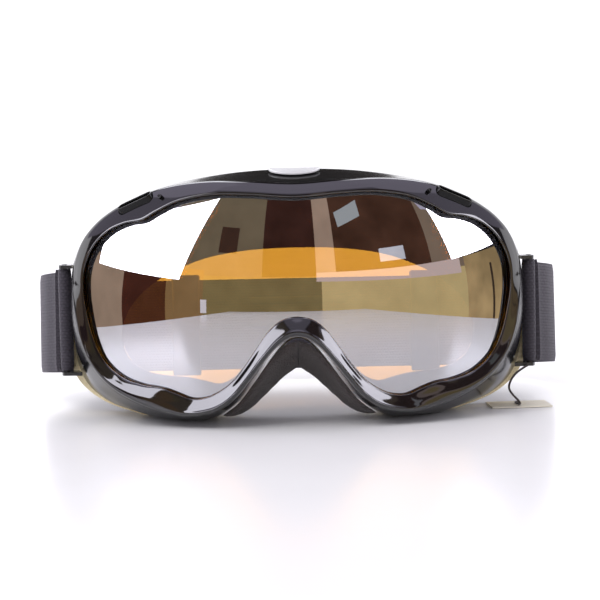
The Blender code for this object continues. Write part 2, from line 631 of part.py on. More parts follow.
# ------------------------------------------------------------------ moving pieces: origin on the joint
for name in ("strap_band", "grip_upper", "grip_middle", "grip_lower", "slider_left", "slider_right"):
    ob = bpy.data.objects[name]
    o = pivot * MM
    if name.startswith("slider"):
        o = (pivot + tilt @ (Vector((SLIDER_X[name.split("_")[1]], BACK_Y, BAR_Z)) - pivot)) * MM
    ob.data.transform(Matrix.Translation(-o))
    ob.location = o

# ------------------------------------------------------------------ origin under the middle of the whole object
for ob in list(parts.objects) + list(cutters.objects):
    ob.location.y -= MIDDLE_Y * MM
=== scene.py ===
# Looks of the goggles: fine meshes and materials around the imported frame, studio, camera.
import bpy
import bmesh
import math
import numpy as np
from mathutils import Vector, Matrix


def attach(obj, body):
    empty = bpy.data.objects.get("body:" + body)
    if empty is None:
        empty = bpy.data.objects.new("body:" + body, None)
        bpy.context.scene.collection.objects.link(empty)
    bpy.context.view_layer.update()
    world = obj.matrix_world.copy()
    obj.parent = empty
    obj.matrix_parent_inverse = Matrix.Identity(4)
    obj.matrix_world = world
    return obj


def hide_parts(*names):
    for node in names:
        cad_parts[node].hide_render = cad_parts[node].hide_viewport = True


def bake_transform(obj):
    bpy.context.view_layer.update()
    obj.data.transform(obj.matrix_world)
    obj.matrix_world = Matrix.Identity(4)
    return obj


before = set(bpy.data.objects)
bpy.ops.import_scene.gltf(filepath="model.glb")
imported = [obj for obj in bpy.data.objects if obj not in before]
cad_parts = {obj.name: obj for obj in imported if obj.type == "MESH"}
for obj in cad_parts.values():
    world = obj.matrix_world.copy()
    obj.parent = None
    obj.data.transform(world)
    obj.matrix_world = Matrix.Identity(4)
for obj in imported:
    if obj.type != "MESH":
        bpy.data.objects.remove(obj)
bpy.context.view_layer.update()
MM = 0.001
scene = bpy.context.scene

# ================================================================== camera
CAM_H, CAM_D, CAM_PITCH, CAM_ROLL = 0.112, 0.720, 4.89, 1.25
cam_data = bpy.data.cameras.new("camera")
cam_data.sensor_width = 36.0
cam_data.lens = 113.2
cam_data.clip_start = 0.05
cam = bpy.data.objects.new("camera", cam_data)
scene.collection.objects.link(cam)
cam.matrix_world = (Matrix.Translation((0.0012, -CAM_D - 0.0793, CAM_H))
                    @ Matrix.Rotation(math.radians(90.0 - CAM_PITCH), 4, 'X')
                    @ Matrix.Rotation(math.radians(-CAM_ROLL), 4, 'Z'))
scene.camera = cam

# ================================================================== shape of the goggles, as in the frame (mm)
LENS_R, LENS_ZC = 125.0, 42.0
FLANGE_W, FLANGE_T, WALL_T = 9.0, 1.6, 2.1
FOAM_T, FLEECE_T = 8.0, 4.0
STRAP_W, STRAP_T, STRAP_TILT = 42.0, 1.6, -7.5
BAR_X, BAR_Y, BAR_Z, BAR_R, LOOP_T = 95.6, 56.0, 39.5, 1.1, 1.4
BACK_Y, MIDDLE_Y = 157.0, 79.3
SLIDER_X = {"left": -52.0, "right": 59.0}
ORIGIN = Vector((0, MIDDLE_Y, 0))


def M(p):
    """Millimetres from the front of the lens to metres in the frame."""
    return (Vector(p) - ORIGIN) * MM



OPENING = [(0, 89.4), (18, 90.6), (32, 90.8), (45, 88.6), (54, 84.6), (60, 81.3), (67, 80), (74, 77), (80, 71.5),
           (84.3, 63), (85.3, 54), (83.8, 43.5), (81, 33), (76.8, 25), (70, 19.4), (62, 16.7), (54, 15.7),
           (48, 13.8), (42.5, 11.8), (37.5, 12), (32.5, 13.9), (26.5, 18.2), (21, 24.8), (16, 32), (11, 38.8),
           (6, 42.8), (0, 44)]
BEZEL = [(0, 95), (18, 96), (33, 96.3), (47, 95), (57, 92.4), (65, 89.2), (73, 85), (80, 79.8), (85.8, 73),
         (89.3, 64.5), (90.4, 55), (90.2, 46), (88.7, 36.5), (85.5, 27), (80, 19), (72.5, 13), (63, 8.5),
         (54.5, 5.8), (46, 4.3), (38, 4.9), (31, 7.2), (24.5, 12.2), (18.5, 19.5), (13.3, 26.4), (8.4, 32),
         (4, 35.3), (0, 36.3)]
SHOULDER = [(0, 100.3, 26), (18, 99.8, 27), (33.2, 98.2, 29), (47.2, 95.7, 32), (58, 92.7, 35), (66.4, 89.2, 38),
            (74.6, 84.7, 41), (81.3, 79.5, 43.5), (86.8, 72.6, 45.5), (90.6, 64.2, 46.5), (92.1, 55, 47),
            (92.6, 46, 47), (92, 35.6, 47), (89.6, 25.2, 46.5), (84.2, 15.2, 45), (76, 8.2, 42), (65.6, 3.2, 39),
            (56, 0.5, 36), (46, -0.6, 32), (37.6, 0.4, 29), (29.6, 3.6, 27), (22.6, 9.4, 25), (16.8, 17, 23.5),
            (11.9, 24, 22.5), (7.4, 29.6, 22), (3.6, 33, 22), (0, 34, 22)]
RIM = [(0, 100, 37), (18, 99.4, 38), (33.2, 97.7, 41), (47.2, 95.2, 45), (58, 92, 48), (66.4, 88.3, 51),
       (74.7, 83.6, 54), (81.5, 78.3, 57), (86.7, 71.4, 59.5), (89.7, 63.2, 61), (90.8, 54.6, 62), (91, 46, 62),
       (92, 35.6, 61.5), (92.4, 24.4, 61), (88.4, 13.2, 59), (79.6, 5.6, 56), (68, 1.6, 52), (57, -0.4, 48),
       (46, -0.8, 44), (37.4, 0.0, 41), (29.4, 3.3, 38), (22.2, 9, 36), (16.4, 16.6, 34), (11.6, 23.4, 32.5),
       (7.2, 28.8, 31.5), (3.5, 32, 31), (0, 33, 31)]
FACE = [(0, 68.5, 37), (13, 68.2, 37.6), (25, 67, 39.2), (36, 64.8, 41.6), (45.5, 61.4, 44.2), (54, 57.2, 46.8),
        (61, 52.4, 49.3), (66.5, 47, 51.6), (70, 41.6, 53.2), (71.8, 36.5, 54.4), (72.2, 32, 55), (71.8, 28, 55.2),
        (70.5, 24.5, 55), (68.2, 21.6, 54.2), (65, 19.4, 52.8), (61, 17.8, 51), (56, 16.9, 48.8), (50.5, 16.4, 46.6),
        (44.5, 16, 44.6), (38, 14.9, 41.6), (31.6, 14, 38.8), (25, 17.4, 36.4), (20, 24.2, 34.4), (15.3, 31, 32.9),
        (10.2, 36.6, 31.8), (5.7, 40, 31.3), (0, 41.2, 31.2)]
FOAM_OUT = [(-1.1,), (-1.1,), (-1.1,), (-1.1,), (-1.1,), (-1.0,), (-0.9,), (-0.7,), (-0.4,), (0.0,), (0.5,), (0.9,), (1.0,),
            (1.0,), (1.0,), (0.9,), (0.9,), (0.9,), (0.9,), (0.8,), (0.7,), (0.6,), (0.6,), (0.6,), (0.6,), (0.6,), (0.6,)]
STRAP_PLAN = [(99.4, 58.5), (99.4, 65), (99.4, 71), (102.2, 78), (107.4, 87), (111, 98), (111.7, 111), (108.2, 124),
              (101.5, 136.5), (94, 147), (84, 153.8), (73, 156.8), (62, 157), (31, 157), (0, 157)]


def catmull(p, f):
    return tuple(0.5 * (2 * b + (c - a) * f + (2 * a - 5 * b + 4 * c - d) * f * f + (3 * b - a - 3 * c + d) * f ** 3)
                 for a, b, c, d in zip(*p))


def spline(points, t):
    n = len(points)
    i = int(math.floor(t))
    return catmull([points[(i + k) % n] for k in (-1, 0, 1, 2)], t - i)


def open_spline(points, steps):
    out = []
    n = len(points)
    for i in range(n - 1):
        p = [points[max(0, i - 1)], points[i], points[i + 1], points[min(n - 1, i + 2)]]
        out += [catmull(p, k / steps) for k in range(steps)]
    out.append(tuple(points[-1]))
    return out


def closed(half):
    return list(half) + [(-p[0],) + tuple(p[1:]) for p in reversed(half[1:-1])]


OPEN_C, BEZEL_C, SHOULDER_C, RIM_C = closed(OPENING), closed(BEZEL), closed(SHOULDER), closed(RIM)
FACE_C = closed(FACE)
COUNT = len(OPEN_C)


def sphere_y(x, z, h):
    r = LENS_R + h
    return LENS_R - math.sqrt(r * r - x * x - (z - LENS_ZC) ** 2)


class Station:
    def __init__(self, t):
        self.t = t
        self.a, self.b, self.c, self.d = (spline(o, t) for o in (OPEN_C, BEZEL_C, SHOULDER_C, RIM_C))
        self.e = spline(FACE_C, t)
        self.foam = spline(FOAM_OUT + FOAM_OUT[-2:0:-1], t)[0]
        around = min(t % COUNT, COUNT - t % COUNT)
        self.low = min(1.0, max(0.0, (around - 10.0) / 3.0))
        self.cheek = math.exp(-((around - 13.4) / 1.1) ** 2)
        dx, dz = self.b[0] - self.a[0], self.b[1] - self.a[1]
        self.w = math.hypot(dx, dz)
        self.out = (dx / self.w, dz / self.w)

    def band(self, u, h):
        x, z = self.a[0] + self.out[0] * u, self.a[1] + self.out[1] * u
        return Vector((x, sphere_y(x, z, h), z))

    def shoulder(self, inset, dy=0.0):
        return Vector((self.c[0] - self.out[0] * inset, self.c[2] + dy, max(0.0, self.c[1] - self.out[1] * inset)))

    def rim(self, inset, dy=0.0):
        return Vector((self.d[0] - self.out[0] * inset, self.d[2] + dy, max(0.0, self.d[1] - self.out[1] * inset)))

    def face(self, inset, dy=0.0, share=0.0):
        dx, dz = self.d[0] - self.e[0], self.d[1] - self.e[1]
        f = share + inset / math.hypot(dx, dz)
        return Vector((self.e[0] + dx * f, self.e[2] + (self.d[2] - self.e[2]) * f + dy, max(0.0, self.e[1] + dz * f)))


def stations(steps):
    return [Station(k / steps) for k in range(COUNT * steps)]


FINE = stations(8)
MID = stations(6)

# ================================================================== materials
class Mat:
    """A small helper that builds a node material."""

    def __init__(self, name):
        self.m = bpy.data.materials.new(name)
        self.m.use_nodes = True
        self.nt = self.m.node_tree
        self.nt.nodes.clear()
        self.out = self.nt.nodes.new("ShaderNodeOutputMaterial")

    def node(self, kind, **values):
        n = self.nt.nodes.new(kind)
        for k, v in values.items():
            setattr(n, k, v)
        return n

    def link(self, a, b):
        self.nt.links.new(a, b)

    def principled(self, rgb, rough, **sockets):
        p = self.node("ShaderNodeBsdfPrincipled")
        p.inputs["Base Color"].default_value = (*rgb, 1)
        p.inputs["Roughness"].default_value = rough
        for k, v in sockets.items():
            p.inputs[k.replace("_", " ")].default_value = v
        self.p = p
        self.link(p.outputs[0], self.out.inputs["Surface"])
        return p

    def coords(self, kind="Object", scale=(1, 1, 1), rot=(0, 0, 0)):
        t = self.node("ShaderNodeTexCoord")
        mp = self.node("ShaderNodeMapping")
        mp.inputs["Scale"].default_value = scale
        mp.inputs["Rotation"].default_value = rot
        self.link(t.outputs[kind], mp.inputs["Vector"])
        return mp.outputs["Vector"]

    def noise(self, vec, scale, detail=3.0, rough=0.5, distortion=0.0):
        n = self.node("ShaderNodeTexNoise")
        n.inputs["Scale"].default_value = scale
        n.inputs["Detail"].default_value = detail
        n.inputs["Roughness"].default_value = rough
        n.inputs["Distortion"].default_value = distortion
        self.link(vec, n.inputs["Vector"])
        return n.outputs["Fac"]

    def ramp(self, fac, stops):
        r = self.node("ShaderNodeValToRGB")
        e = r.color_ramp.elements
        while len(e) < len(stops):
            e.new(0.5)
        for el, (pos, col) in zip(e, stops):
            el.position = pos
            el.color = (*col, 1) if len(col) == 3 else col
        self.link(fac, r.inputs["Fac"])
        return r.outputs["Color"]

    def math(self, op, a, b=None, clamp=False):
        n = self.node("ShaderNodeMath", operation=op, use_clamp=clamp)
        for i, v in enumerate((a, b)):
            if v is None:
                continue
            if isinstance(v, (int, float)):
                n.inputs[i].default_value = v
            else:
                self.link(v, n.inputs[i])
        return n.outputs[0]

    def rough_range(self, fac, low, high):
        n = self.node("ShaderNodeMapRange")
        n.inputs["To Min"].default_value = low
        n.inputs["To Max"].default_value = high
        self.link(fac, n.inputs["Value"])
        self.link(n.outputs[0], self.p.inputs["Roughness"])

    def bump(self, height, strength, distance, normal=None):
        b = self.node("ShaderNodeBump")
        b.inputs["Strength"].default_value = strength
        b.inputs["Distance"].default_value = distance
        self.link(height, b.inputs["Height"])
        if normal is not None:
            self.link(normal, b.inputs["Normal"])
        self.link(b.outputs["Normal"], self.p.inputs["Normal"])
        return b.outputs["Normal"]


def gloss_black(name, rgb=(0.012, 0.012, 0.013), rough=0.06, wave=0.02, spec=0.5):
    m = Mat(name)
    m.principled(rgb, rough, IOR=1.5, Specular_IOR_Level=spec)
    v = m.coords()
    smudge = m.noise(v, 38.0, 4.0, 0.6)
    m.rough_range(smudge, rough * 0.75, rough * 1.6)
    col = m.ramp(m.noise(v, 14.0, 2.0), [(0.35, tuple(c * 0.85 for c in rgb)), (0.7, tuple(c * 1.2 for c in rgb))])
    m.link(col, m.p.inputs["Base Color"])
    m.bump(m.noise(v, 60.0, 2.0), wave, 0.0006)
    return m.m


def satin_plastic(name, rgb, rough, grain=2600.0, amount=0.12):
    m = Mat(name)
    m.principled(rgb, rough, IOR=1.5)
    v = m.coords()
    m.rough_range(m.noise(v, 90.0, 3.0), rough * 0.85, min(1.0, rough * 1.2))
    col = m.ramp(m.noise(v, 40.0, 2.0), [(0.3, tuple(c * 0.85 for c in rgb)), (0.75, tuple(min(1, c * 1.15) for c in rgb))])
    m.link(col, m.p.inputs["Base Color"])
    m.bump(m.noise(v, grain, 2.0), amount, 0.00008)
    return m.m


def foam_mat(name, rgb, dark, cell=1500.0, depth=0.0004, speck=0.0):
    m = Mat(name)
    m.principled(rgb, 0.95, Sheen_Weight=0.15)
    v = m.coords()
    vor = m.node("ShaderNodeTexVoronoi", feature='F1')
    vor.inputs["Scale"].default_value = cell
    m.link(v, vor.inputs["Vector"])
    tone = m.noise(v, 120.0, 4.0, 0.6)
    col = m.ramp(m.math('ADD', m.math('MULTIPLY', vor.outputs["Distance"], 0.55), m.math('MULTIPLY', tone, 0.6)),
                 [(0.2, dark), (0.75, rgb)])
    m.link(col, m.p.inputs["Base Color"])
    m.bump(m.math('ADD', vor.outputs["Distance"], m.math('MULTIPLY', tone, 0.7)), 0.7, depth)
    return m.m


def fleece_mat(name, rgb, dark):
    m = Mat(name)
    m.principled(rgb, 1.0, Sheen_Weight=0.15, Sheen_Roughness=0.5)
    m.p.inputs["Sheen Tint"].default_value = (0.75, 0.7, 0.7, 1)
    v = m.coords()
    fine = m.noise(v, 2200.0, 3.0, 0.7)
    clump = m.noise(v, 420.0, 4.0, 0.65, 0.6)
    both = m.math('ADD', m.math('MULTIPLY', fine, 0.5), m.math('MULTIPLY', clump, 0.5))
    m.link(m.ramp(both, [(0.3, dark), (0.7, rgb)]), m.p.inputs["Base Color"])
    m.bump(both, 0.8, 0.0005)
    return m.m


def webbing_mat(name, rgb, dark, light):
    """Elastic webbing. UV: u metres along, v metres across."""
    m = Mat(name)
    m.principled(rgb, 0.85, Sheen_Weight=0.3, Sheen_Roughness=0.4)
    m.p.inputs["Sheen Tint"].default_value = (0.8, 0.76, 0.86, 1)
    uv = m.node("ShaderNodeUVMap")
    sep = m.node("ShaderNodeSeparateXYZ")
    m.link(uv.outputs[0], sep.inputs[0])
    u, w = sep.outputs["X"], sep.outputs["Y"]
    cord = m.math('ABSOLUTE', m.math('SINE', m.math('MULTIPLY', w, math.pi / 0.00125)))
    # picks of the weave alternate between neighbouring ribs
    row = m.math('FLOOR', m.math('DIVIDE', w, 0.00125))
    shift = m.math('MULTIPLY', m.math('MODULO', row, 2.0), 0.0007)
    pick = m.math('ABSOLUTE', m.math('SINE', m.math('MULTIPLY', m.math('ADD', u, shift), math.pi / 0.0014)))
    weave = m.math('MULTIPLY', m.math('POWER', cord, 0.6), m.math('ADD', m.math('MULTIPLY', pick, 0.45), 0.55))
    v = m.coords()
    fuzz = m.noise(v, 2600.0, 3.0, 0.7)
    tone = m.noise(v, 90.0, 4.0, 0.6)
    mix = m.math('ADD', m.math('MULTIPLY', weave, 0.55), m.math('ADD', m.math('MULTIPLY', fuzz, 0.35), m.math('MULTIPLY', tone, 0.25)))
    m.link(m.ramp(mix, [(0.2, dark), (0.6, rgb), (0.95, light)]), m.p.inputs["Base Color"])
    m.bump(m.math('ADD', weave, m.math('MULTIPLY', fuzz, 0.5)), 0.9, 0.00022)
    return m.m


def lens_front_mat(name):
    m = Mat(name)
    mirror = m.node("ShaderNodeBsdfGlossy")
    mirror.inputs["Color"].default_value = (0.93, 0.94, 0.98, 1)
    mirror.inputs["Roughness"].default_value = 0.015
    clear = m.node("ShaderNodeBsdfTransparent")
    clear.inputs["Color"].default_value = (1.0, 0.60, 0.12, 1)
    v = m.coords()
    fres = m.node("ShaderNodeLayerWeight")
    fres.inputs["Blend"].default_value = 0.35
    coat = m.math('ADD', m.math('MULTIPLY', m.noise(v, 9.0, 2.0), 0.03), m.math('ADD', m.math('MULTIPLY', fres.outputs["Fresnel"], 0.45), 0.43))
    mix = m.node("ShaderNodeMixShader")
    m.link(coat, mix.inputs[0])
    m.link(clear.outputs[0], mix.inputs[1])
    m.link(mirror.outputs[0], mix.inputs[2])
    m.link(mix.outputs[0], m.out.inputs["Surface"])
    bump = m.node("ShaderNodeBump")
    bump.inputs["Strength"].default_value = 0.02
    bump.inputs["Distance"].default_value = 0.0004
    m.link(m.noise(v, 22.0, 1.0), bump.inputs["Height"])
    m.link(bump.outputs[0], mirror.inputs["Normal"])
    return m.m


def clear_mat(name, rgb, share):
    m = Mat(name)
    gloss = m.node("ShaderNodeBsdfGlossy")
    gloss.inputs["Roughness"].default_value = 0.03
    clear = m.node("ShaderNodeBsdfTransparent")
    clear.inputs["Color"].default_value = (*rgb, 1)
    fres = m.node("ShaderNodeLayerWeight")
    fres.inputs["Blend"].default_value = 0.3
    v = m.coords()
    f = m.math('ADD', m.math('MULTIPLY', fres.outputs["Fresnel"], share), m.math('MULTIPLY', m.noise(v, 30.0, 2.0), 0.02))
    mix = m.node("ShaderNodeMixShader")
    m.link(f, mix.inputs[0])
    m.link(clear.outputs[0], mix.inputs[1])
    m.link(gloss.outputs[0], mix.inputs[2])
    m.link(mix.outputs[0], m.out.inputs["Surface"])
    return m.m


def metal_mat(name, rgb, rough):
    m = Mat(name)
    m.principled(rgb, rough, Metallic=0.9)
    v = m.coords(scale=(1, 1, 0.05))
    n = m.noise(v, 2500.0, 2.0)
    m.rough_range(n, rough * 0.8, rough * 1.3)
    m.bump(n, 0.15, 0.00005)
    return m.m


def card_mat(name, rgb):
    m = Mat(name)
    m.principled(rgb, 0.75)
    v = m.coords()
    fib = m.noise(v, 700.0, 5.0, 0.7)
    m.link(m.ramp(fib, [(0.3, tuple(c * 0.93 for c in rgb)), (0.7, rgb)]), m.p.inputs["Base Color"])
    m.bump(fib, 0.3, 0.00006)
    return m.m


def string_mat(name, rgb, dark):
    m = Mat(name)
    m.principled(rgb, 0.8, Sheen_Weight=0.2)
    v = m.coords(scale=(1, 1, 1), rot=(0.5, 0.4, 0.2))
    w = m.node("ShaderNodeTexWave", wave_type='BANDS', bands_direction='DIAGONAL')
    w.inputs["Scale"].default_value = 620.0
    w.inputs["Distortion"].default_value = 1.5
    m.link(v, w.inputs["Vector"])
    m.link(m.ramp(w.outputs["Fac"], [(0.2, dark), (0.8, rgb)]), m.p.inputs["Base Color"])
    m.bump(w.outputs["Fac"], 0.6, 0.0001)
    return m.m


M_BEZEL = gloss_black("bezel_gloss_black", (0.0065, 0.006, 0.007), 0.05, 0.015, 0.8)
M_FRAME = gloss_black("frame_gloss_black", (0.008, 0.008, 0.0085), 0.12, 0.02, 0.6)
M_LENS = lens_front_mat("lens_mirror_front")
M_LENS_BACK = clear_mat("lens_amber_back", (1.0, 0.76, 0.32), 0.04)
M_INNER = clear_mat("lens_inner_clear", (0.96, 0.96, 0.95), 0.04)
M_GASKET = foam_mat("gasket_foam_dark", (0.030, 0.029, 0.029), (0.008, 0.008, 0.008), 2200.0, 0.0002)
M_VENT = gloss_black("vent_satin_black", (0.004, 0.004, 0.004), 0.22, 0.0, 0.22)
M_INSIDE = gloss_black("frame_inside_matte", (0.005, 0.005, 0.005), 0.6, 0.0, 0.08)
# painted shade: a darker, nearly unreflecting black for the inner walls and floor of the vent holes
M_VENT_PAINTED_SHADE = gloss_black("vent_recess_painted_shade", (0.002, 0.002, 0.002), 0.5, 0.0, 0.05)
M_VENTFOAM = foam_mat("vent_filter_foam", (0.06, 0.06, 0.06), (0.008, 0.008, 0.008), 900.0, 0.0006)
M_BADGE = satin_plastic("badge_silver_white", (0.62, 0.62, 0.64), 0.30, 1800.0, 0.05)
M_FOAM = foam_mat("face_foam_cream", (0.94, 0.83, 0.55), (0.74, 0.60, 0.33), 1500.0, 0.00035)
M_FLEECE = fleece_mat("fleece_dark", (0.040, 0.034, 0.034), (0.008, 0.007, 0.007))
M_FLAP = foam_mat("nose_foam_brown_black", (0.055, 0.042, 0.038), (0.012, 0.009, 0.008), 1100.0, 0.0005)
M_BRACKET = gloss_black("bracket_black", (0.014, 0.014, 0.015), 0.22)
M_BAR = metal_mat("bar_blackened_steel", (0.10, 0.10, 0.11), 0.35)
M_STRAP = webbing_mat("strap_elastic_webbing", (0.024, 0.020, 0.029), (0.014, 0.012, 0.017), (0.035, 0.031, 0.042))
M_THREAD = string_mat("strap_thread", (0.14, 0.125, 0.15), (0.05, 0.045, 0.055))
M_GRIP = satin_plastic("grip_silicone", (0.03, 0.03, 0.034), 0.42, 900.0, 0.2)
M_SLIDER = satin_plastic("slider_black", (0.014, 0.014, 0.015), 0.3)
M_CARD = card_mat("tag_card_cream", (0.80, 0.75, 0.63))
M_STRING = string_mat("tag_string_dark", (0.05, 0.032, 0.026), (0.012, 0.008, 0.007))
# painted highlight: a brass-coloured material for the bright line along the nose-flap edges; no mesh uses it
M_FLAP_EDGE_GLINT = satin_plastic("flap_edge_painted_glint", (0.52, 0.40, 0.20), 0.45)


# ================================================================== mesh helpers
def add(name, verts, faces, mats, body=None, smooth=30.0, uv=None, recalc=True):
    me = bpy.data.meshes.new(name)
    me.from_pydata([tuple(M(v)) for v in verts], [], faces)
    if uv is not None:
        layer = me.uv_layers.new(name="UVMap")
        for loop in me.loops:
            layer.data[loop.index].uv = uv[loop.vertex_index]
    if recalc:
        bm = bmesh.new()
        bm.from_mesh(me)
        bmesh.ops.recalc_face_normals(bm, faces=bm.faces)
        bm.to_mesh(me)
        bm.free()
    for m in (mats if isinstance(mats, (list, tuple)) else [mats]):
        me.materials.append(m)
    ob = bpy.data.objects.new(name, me)
    scene.collection.objects.link(ob)
    if smooth is not None:
        me.shade_smooth()
        me.set_sharp_from_angle(angle=math.radians(smooth))
    if body:
        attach(ob, body)
    return ob


def apply_all(ob):
    """Bake an object's modifiers into its mesh."""
    bpy.context.view_layer.update()
    me = bpy.data.meshes.new_from_object(ob.evaluated_get(bpy.context.evaluated_depsgraph_get()))
    old = ob.data
    ob.modifiers.clear()
    ob.data = me
    bpy.data.meshes.remove(old)
    return ob


def ring(name, sts, section, mats, body, smooth=35.0):
    loops = [section(s) for s in sts]
    m, n = len(loops[0]), len(loops)
    verts = [p for lp in loops for p in lp]
    faces = []
    for i in range(n):
        j = (i + 1) % n
        for k in range(m):
            l = (k + 1) % m
            faces.append((i * m + k, i * m + l, j * m + l, j * m + k))
    return add(name, verts, faces, mats, body, smooth)


def soft_path(points, steps):
    """Smooth section line through points of any size."""
    return [Vector(p) for p in open_spline([tuple(q) for q in points], steps)]


def bezier3(a, b, c, n):
    return [(1 - f) ** 2 * a + 2 * f * (1 - f) * b + f * f * c for f in [k / n for k in range(1, n + 1)]]


# ================================================================== bezel
def bezel_section(s):
    w, k = s.w, s.low
    high = [(0.05, 0.35), (0.08, 1.45), (0.45, 2.12), (1.2, 2.25), (0.55 * w, 1.98), (w - 1.3, 1.68), (w - 0.42, 1.42),
            (w - 0.04, 0.95), (w, 0.35)]
    roll = [(0.05, 0.35), (0.20, 0.9), (0.9, 1.35), (0.36 * w, 2.45), (0.60 * w, 3.5), (w - 2.0, 4.1), (w - 0.9, 3.5),
            (w - 0.08, 1.4), (w, 0.35)]
    # at the upper corners the band leans outwards a little more
    c = 0.11 * math.exp(-((abs(s.t) - 5.15) / 1.1) ** 2)
    high = [(u, h - c * (u - 0.5 * w) * (0 if h < 0.5 else 1)) for u, h in high]
    top = open_spline([(a[0] + (b[0] - a[0]) * k, a[1] + (b[1] - a[1]) * k) for a, b in zip(high, roll)], 4)
    pts = [s.band(u, h) for u, h in top]
    pts += [s.band(w - 0.25, 0.02), s.band(w * 0.5, 0.02), s.band(0.35, 0.02)]
    return pts


bezel = ring("bezel_fine", FINE, bezel_section, M_BEZEL, None, 45)

# ================================================================== frame body
SEAT_H, SEAT_B = -5.3, -6.7


def frame_section(s):
    w = s.w
    top = s.band(w - 0.15, -0.42)
    c, d = s.shoulder(0.0), s.rim(0.0)
    e1, e2 = top.lerp(c, 0.72), c.lerp(d, 0.22)
    pts = [s.band(w - 0.9, -0.32), top, top.lerp(c, 0.25), top.lerp(c, 0.5), e1]
    pts += bezier3(e1, c, e2, 6)
    pts += [c.lerp(d, 0.5), c.lerp(d, 0.78)]
    e3, e4 = c.lerp(d, 0.93), s.rim(0.9)
    pts += [e3] + bezier3(e3, d, e4, 4)
    low = s.band(w - 1.2, SEAT_B)
    corner = s.shoulder(WALL_T)
    corner = Vector((corner.x, max(corner.y, low.y + 1.5), corner.z))
    pts += [s.face(0, 0, 0.75), s.face(0, 0, 0.5), s.face(0, 0, 0.25), s.face(0.3), s.face(0, -0.3), s.face(0, -FLANGE_T + 0.3),
            s.face(0.3, -FLANGE_T), s.face(0, -FLANGE_T, 0.25), s.face(0, -FLANGE_T, 0.5), s.face(0, -FLANGE_T, 0.75), s.rim(WALL_T + 0.5, -FLANGE_T), s.rim(WALL_T, -FLANGE_T - 0.5), corner, low,
            s.band(0.3, SEAT_B), s.band(0.1, SEAT_B + 0.2), s.band(0.1, SEAT_H - 0.2), s.band(0.3, SEAT_H), s.band(2.9, SEAT_H),
            s.band(2.9, -0.5), s.band(3.0, -0.32)]
    return pts


body_ob = ring("frame_body_fine", FINE, frame_section, [M_FRAME, M_INSIDE], None, 40)
per_station = len(frame_section(FINE[0]))
for f in body_ob.data.polygons:
    f.material_index = 1 if 20 <= f.index % per_station < per_station - 2 else 0


def frame_at(t, v, lift=0.0):
    def at(tt, vv):
        s = Station(tt % COUNT)
        p = [s.band(s.w - 0.1, -0.4), s.shoulder(0.0), s.rim(0.0)]
        k = min(1, int(vv))
        return p[k].lerp(p[k + 1], vv - k)
    c = at(t, v)
    along = (at(t + 0.5, v) - at(t - 0.5, v)).normalized()
    across = (at(t, v + 0.05) - at(t, v - 0.05)).normalized()
    normal = along.cross(across).normalized()
    s = Station(t % COUNT)
    if normal.dot(Vector((s.out[0], 0, s.out[1]))) < 0:
        normal = -normal
    across = normal.cross(along).normalized()
    return c + normal * lift, along, across, normal


def vent_at(t):
    def edge(tt):
        s = Station(tt % COUNT)
        return s.band(s.w - 2.0, 1.2)
    c = edge(t)
    along = (edge(t + 0.5) - edge(t - 0.5)).normalized()
    front = (c - Vector((0, LENS_R, LENS_ZC))).normalized()
    front = (front - along * front.dot(along)).normalized()
    side = front.cross(along)
    s = Station(t % COUNT)
    if side.dot(Vector((s.out[0], 0, s.out[1]))) < 0:
        side = -side
    normal = (front + side * 0.8).normalized()
    return c, along, normal.cross(along), normal


def oval(length, width, steps=16):
    r = width / 2
    s = length / 2 - r
    pts = []
    for k in range(steps + 1):
        a = -math.pi / 2 + math.pi * k / steps
        pts.append((s + r * math.cos(a), r * math.sin(a)))
    for k in range(steps + 1):
        a = math.pi / 2 + math.pi * k / steps
        pts.append((-s + r * math.cos(a), r * math.sin(a)))
    return pts


def oval_stack(name, place, layers, mats, body, smooth=40.0, cap=(True, True)):
    """Lofted stack of ovals. layers: (length, width, height)."""
    c, u, v, n = place
    verts, faces = [], []
    m = len(oval(1, 0.5))
    for length, width, h in layers:
        verts += [c + u * a + v * b + n * h for a, b in oval(length, width)]
    for r in range(len(layers) - 1):
        for i in range(m):
            j = (i + 1) % m
            faces.append((r * m + i, r * m + j, (r + 1) * m + j, (r + 1) * m + i))
    faces.append(tuple(range(m)))
    faces.append(tuple(range((len(layers) - 1) * m, len(layers) * m)))
    return add(name, verts, faces, mats, body, smooth)


def cut_with(target, cutter):
    mod = target.modifiers.new("cut", 'BOOLEAN')
    mod.operation = 'DIFFERENCE'
    mod.solver = 'EXACT'
    mod.object = cutter


VENT_T, TOP_VENTS = 4.85, (1.35, 2.85)
tools = []
for side, sign in (("right", 1), ("left", -1)):
    t = VENT_T * sign
    k = oval_stack("cut_v", vent_at(t), [(17.0, 5.2, -4.0), (17.0, 5.2, 4.5)], M_FRAME, None)
    tools.append(k)
    cut_with(body_ob, k)
    cut_with(bezel, k)
    for tv in TOP_VENTS:
        k = oval_stack("cut_t", frame_at(tv * sign, 1.5), [(13.0, 4.0, -3.5), (13.0, 4.0, 4.0)], M_FRAME, None)
        tools.append(k)
        cut_with(body_ob, k)
apply_all(body_ob)
apply_all(bezel)
bezel.data.shade_smooth()
bezel.data.set_sharp_from_angle(angle=math.radians(45))
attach(bezel, "frame")
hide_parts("bezel")
for k in tools:
    bpy.data.objects.remove(k, do_unlink=True)
body_ob.data.shade_smooth()
body_ob.data.set_sharp_from_angle(angle=math.radians(40))
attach(body_ob, "frame")
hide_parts("frame_body")

